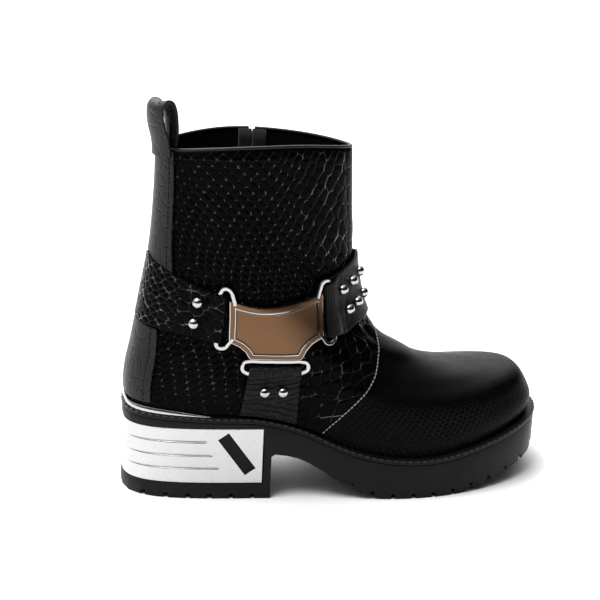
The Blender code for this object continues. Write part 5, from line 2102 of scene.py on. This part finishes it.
@dataclass
class SoleUnit:
    """Sole, welt and insole as kept, with the heel's metal wrap, the rim strip and the welt's thread."""

    plate_low: float = 10.3
    plate_top: float = 44.1
    plate_end: float = 76.8
    plate_thick: float = 1.2
    flare: float = 0.5
    slot_x: float = 61.8
    slot_z: float = 28.4
    slot_length: float = 27.5
    slot_width: float = 7.6
    slot_tilt: float = 36.0
    slot_reach: float = 24.0
    line_deep: float = 0.6
    line_half: float = 0.7
    rim_end: float = 45.5
    rim_tall: float = 3.0
    thread_drop: float = 0.8
    lines: tuple[tuple[float, float], ...] = ((36.0, 44.4), (27.4, 47.7), (19.3, 51.9))

    def share_at(self, limit: float, side: Side) -> float:
        """Where one side of the sole reaches a length.

        Args:
            limit: The length.
            side: Which side of the boot.

        Returns:
            The share u, below zero on the inner side.
        """
        run = np.linspace(0.05, 0.95, 400)
        u = -side.value * run
        return -side.value * float(np.interp(limit, LAST.outline(LAST.sole_out(u), u)[:, 0], run))

    def engraving(self, z: float, x: Array) -> Array:
        """Depth of the level lines engraved round the heel plate.

        Args:
            z: Height.
            x: Lengths.

        Returns:
            Depths, at most 0.
        """
        deep = np.zeros_like(x)
        for height, end in self.lines:
            fade = ease((end - x) / 1.0) * np.interp(x, (-2.0, 6.0, 26.0), (0.1, 0.5, 1.0))
            deep = np.minimum(deep, -self.line_deep * fade * (1 - ease(np.abs(z - height) / self.line_half)))
        return deep

    def cut_slot(self, bm: Mesh, side: Side) -> None:
        """Cut the slanted slot through one side of the wrap.

        Args:
            bm: The wrap's mesh.
            side: Which side of the boot.
        """
        lean = math.radians(self.slot_tilt)
        along = Vector((-math.sin(lean), 0, math.cos(lean)))
        cross = Vector((math.cos(lean), 0, math.sin(lean)))
        middle = Vector(((self.slot_x + SHIFT[0]) * MM, 0, self.slot_z * MM))
        halves = ((along, self.slot_length / 2), (cross, self.slot_width / 2))
        for way, half in halves:
            for sign in (-1, 1):
                near = []
                for face in bm.faces:
                    centre = face.calc_center_median()
                    close = (centre - middle).xz.length < self.slot_reach * MM
                    if close and centre.y * side.value > 0:
                        near.append(face)
                edges = list({edge for face in near for edge in face.edges})
                verts = list({vert for face in near for vert in face.verts})
                spot = middle + way * half * sign * MM
                bmesh.ops.bisect_plane(bm, geom=near + edges + verts, plane_co=spot, plane_no=way)
        gone = []
        for face in bm.faces:
            centre = face.calc_center_median()
            inside = all(abs((centre - middle).dot(way)) < half * MM for way, half in halves)
            if inside and centre.y * side.value > 0:
                gone.append(face)
        bmesh.ops.delete(bm, geom=gone, context="FACES")

    def build_heel_plate(self, shop: Workshop) -> None:
        """Model the heel's metal wrap with its slots and engraved lines.

        Args:
            shop: The workshop.
        """
        ends = [self.share_at(self.plate_end, side) for side in (Side.INNER, Side.OUTER)]
        u = np.linspace(*ends, 240)
        lines = [h + d for h, _ in self.lines for d in (-0.7, -0.5, -0.3, -0.12, 0, 0.12, 0.3, 0.5, 0.7)]
        z = np.unique(np.concatenate([np.linspace(self.plate_low, self.plate_top, 26), lines]))
        rows = []
        for height in z:
            out = LAST.sole_out(u) + self.flare * (1 - height / 50)
            deep = self.engraving(height, LAST.outline(out, u)[:, 0])
            row = LAST.outline(out + deep, u)
            row[:, 2] = height
            rows.append(row)
        bm = shop.grid(np.stack(rows))
        for side in Side:
            self.cut_slot(bm, side)
        plate = shop.piece("heel_wrap", bm, [BRUSHED], ["heel_plate"])
        wall = plate.modifiers.new("wall", "SOLIDIFY")
        wall.thickness = self.plate_thick * MM
        wall.offset = -1.0
        shop.soft_edges(plate, 0.18, 60)

    def build_rim(self, shop: Workshop) -> None:
        """Model the bright strip on the welt round the back.

        Args:
            shop: The workshop.
        """
        ends = [self.share_at(self.rim_end, side) for side in (Side.INNER, Side.OUTER)]
        u = np.linspace(*ends, 150)
        foot = LAST.outline(1.3, u)
        share = np.clip(foot[:, 0] / 46.0, 0, 1)
        tall = self.rim_tall * (1 - 0.85 * share**2.2)
        loops = []
        for corner in RIM_PROFILE:
            row = LAST.outline(corner.out, u)
            row[:, 2] += corner.high * tall
            loops.append(row)
        loops.append(loops[0])
        bm = shop.grid(np.stack(loops, axis=1))
        shop.close(bm)
        rim = shop.piece("rim_strip", bm, [CHROME], ["heel_rim"])
        rim.data.set_sharp_from_angle(angle=math.radians(50))

    def build_welt_stitches(self, shop: Workshop) -> None:
        """Model the row of stitches along the upper edge of the welt.

        Args:
            shop: The workshop.
        """
        u = np.linspace(0, 2, 720)
        reach = LAST.sole_out(u) + 0.25
        path = LAST.outline(reach, u)
        path[:, 2] -= self.thread_drop
        out = LAST.outline(reach + 1.0, u) - LAST.outline(reach, u) + (0.0, 0.0, 0.7)
        thread = shop.stitches(path, out, WELT_ROW)
        shop.piece("welt_stitches", thread, [WELT_THREAD], ())

    def dress(self, shop: Workshop, nodes: Nodes) -> None:
        """Give the moulded solids smooth shading, soft edges and their finishes.

        Args:
            shop: The workshop.
            nodes: The solids by name.
        """
        for name, finish, width in (("outsole", SOLE, 0.5), ("welt", WELT, 0.7), ("insole", INSOLE, 0.6)):
            thing = nodes[name]
            thing.data.shade_smooth()
            shop.dress(thing, finish, width, 40)
            split = thing.modifiers.new("crisp", "EDGE_SPLIT")
            split.split_angle = math.radians(35)

    def build(self, shop: Workshop, nodes: Nodes) -> None:
        """Build the metal of the heel and the welt's stitches, and dress the kept solids.

        Args:
            shop: The workshop.
            nodes: The solids by name.
        """
        self.build_heel_plate(shop)
        self.build_rim(shop)
        self.build_welt_stitches(shop)
        self.dress(shop, nodes)


# Stage


@dataclass
class Stage:
    """Floor, light and camera."""

    aim: tuple[float, float, float] = (-0.02463, 0.00229, 0.11022)
    azimuth: float = -15.0
    elevation: float = 18.5
    roll: float = 2.8
    distance: float = 0.85
    lens: float = 85.64
    sensor: float = 36.0
    clip: float = 0.01
    floor_half: float = 30.0
    sky_way: tuple[float, float, float] = (-0.3, 0.3, 0.9)
    sky_span: tuple[float, float] = (0.3, 0.95)
    sky_light: tuple[float, float] = (0.015, 1.4)
    suns: tuple[Lamp, ...] = (
        Lamp("key", 3.4, 40.0, (-0.42, -0.05, 1.0)),
        Lamp("back_top", 1.7, 60.0, (-0.2, 0.7, 0.68)),
        Lamp("backdrop", 0.7, 50.0, (0.12, 0.88, 0.4)),
        Lamp("far_right", 0.4, 40.0, (0.5, 0.85, 0.12)),
    )

    def build_floor(self) -> None:
        """Lay a large white floor."""
        bm = bmesh.new()
        bmesh.ops.create_grid(bm, x_segments=1, y_segments=1, size=self.floor_half)
        mesh = bpy.data.meshes.new("floor")
        bm.to_mesh(mesh)
        bm.free()
        graph = Graph("white_floor", Roughness=0.9, Specular_IOR_Level=0.1)
        place = graph.object_place()
        cloud = graph.noise(place, 3.0, 2.0)
        mesh.materials.append(graph.wire(Base_Color=graph.mix(cloud, (0.8, 0.8, 0.8), (0.88, 0.88, 0.88))))
        floor = bpy.data.objects.new("floor", mesh)
        bpy.context.scene.collection.objects.link(floor)

    def build_light(self) -> None:
        """Light the boot with a sky that is bright above and dark low down, and with soft suns."""
        world = bpy.data.worlds.new("studio")
        bpy.context.scene.world = world
        world.use_nodes = True
        tree = world.node_tree
        sky = tree.nodes["Background"]
        place = tree.nodes.new("ShaderNodeTexCoord")
        lean = tree.nodes.new("ShaderNodeVectorMath")
        lean.operation = "DOT_PRODUCT"
        tree.links.new(place.outputs["Generated"], lean.inputs[0])
        lean.inputs[1].default_value = self.sky_way
        ramp = tree.nodes.new("ShaderNodeMapRange")
        ramp.interpolation_type = "SMOOTHSTEP"
        tree.links.new(lean.outputs["Value"], ramp.inputs[0])
        for k, value in enumerate((*self.sky_span, *self.sky_light), 1):
            ramp.inputs[k].default_value = value
        tree.links.new(ramp.outputs[0], sky.inputs["Strength"])
        sky.inputs["Color"].default_value = (0.97, 0.985, 1.0, 1.0)
        for lamp in self.suns:
            light = bpy.data.lights.new(lamp.name, "SUN")
            light.energy = lamp.strength
            light.angle = math.radians(lamp.wide)
            thing = bpy.data.objects.new(lamp.name, light)
            thing.rotation_euler = Vector(lamp.towards).to_track_quat("Z", "Y").to_euler()
            bpy.context.scene.collection.objects.link(thing)
        bpy.context.scene.view_settings.view_transform = "Standard"

    def build_camera(self) -> None:
        """Stand the camera where the photograph was taken."""
        a, e, r = (math.radians(v) for v in (self.azimuth, self.elevation, self.roll))
        back = Vector((math.sin(a) * math.cos(e), -math.cos(a) * math.cos(e), math.sin(e)))
        flat = Vector((math.cos(a), math.sin(a), 0))
        tall = back.cross(flat)
        right = flat * math.cos(r) + tall * math.sin(r)
        up = tall * math.cos(r) - flat * math.sin(r)
        data = bpy.data.cameras.new("camera")
        data.lens = self.lens
        data.sensor_width = self.sensor
        data.clip_start = self.clip
        camera = bpy.data.objects.new("camera", data)
        turn = Matrix((right, up, back)).transposed().to_4x4()
        camera.matrix_world = Matrix.Translation(Vector(self.aim) + back * self.distance) @ turn
        bpy.context.scene.collection.objects.link(camera)
        bpy.context.scene.camera = camera

    def build(self) -> None:
        """Build floor, light and camera."""
        self.build_floor()
        self.build_light()
        self.build_camera()


def main() -> None:
    """Build the looks in order."""
    logging.basicConfig(level=logging.INFO, format="%(message)s")
    for thing in list(bpy.data.objects):
        bpy.data.objects.remove(thing, do_unlink=True)
    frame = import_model()
    nodes = frame["nodes"]
    shop = Workshop()
    closure = Zip()
    harness = Harness()
    Upper(closure).build(shop)
    BackStrips(harness).build(shop)
    harness.build(shop)
    SoleUnit().build(shop, nodes)
    closure.build(shop)
    closure.dress(shop, nodes)
    Stage().build()
    bpy.context.view_layer.update()


if __name__ == "__main__":
    main()
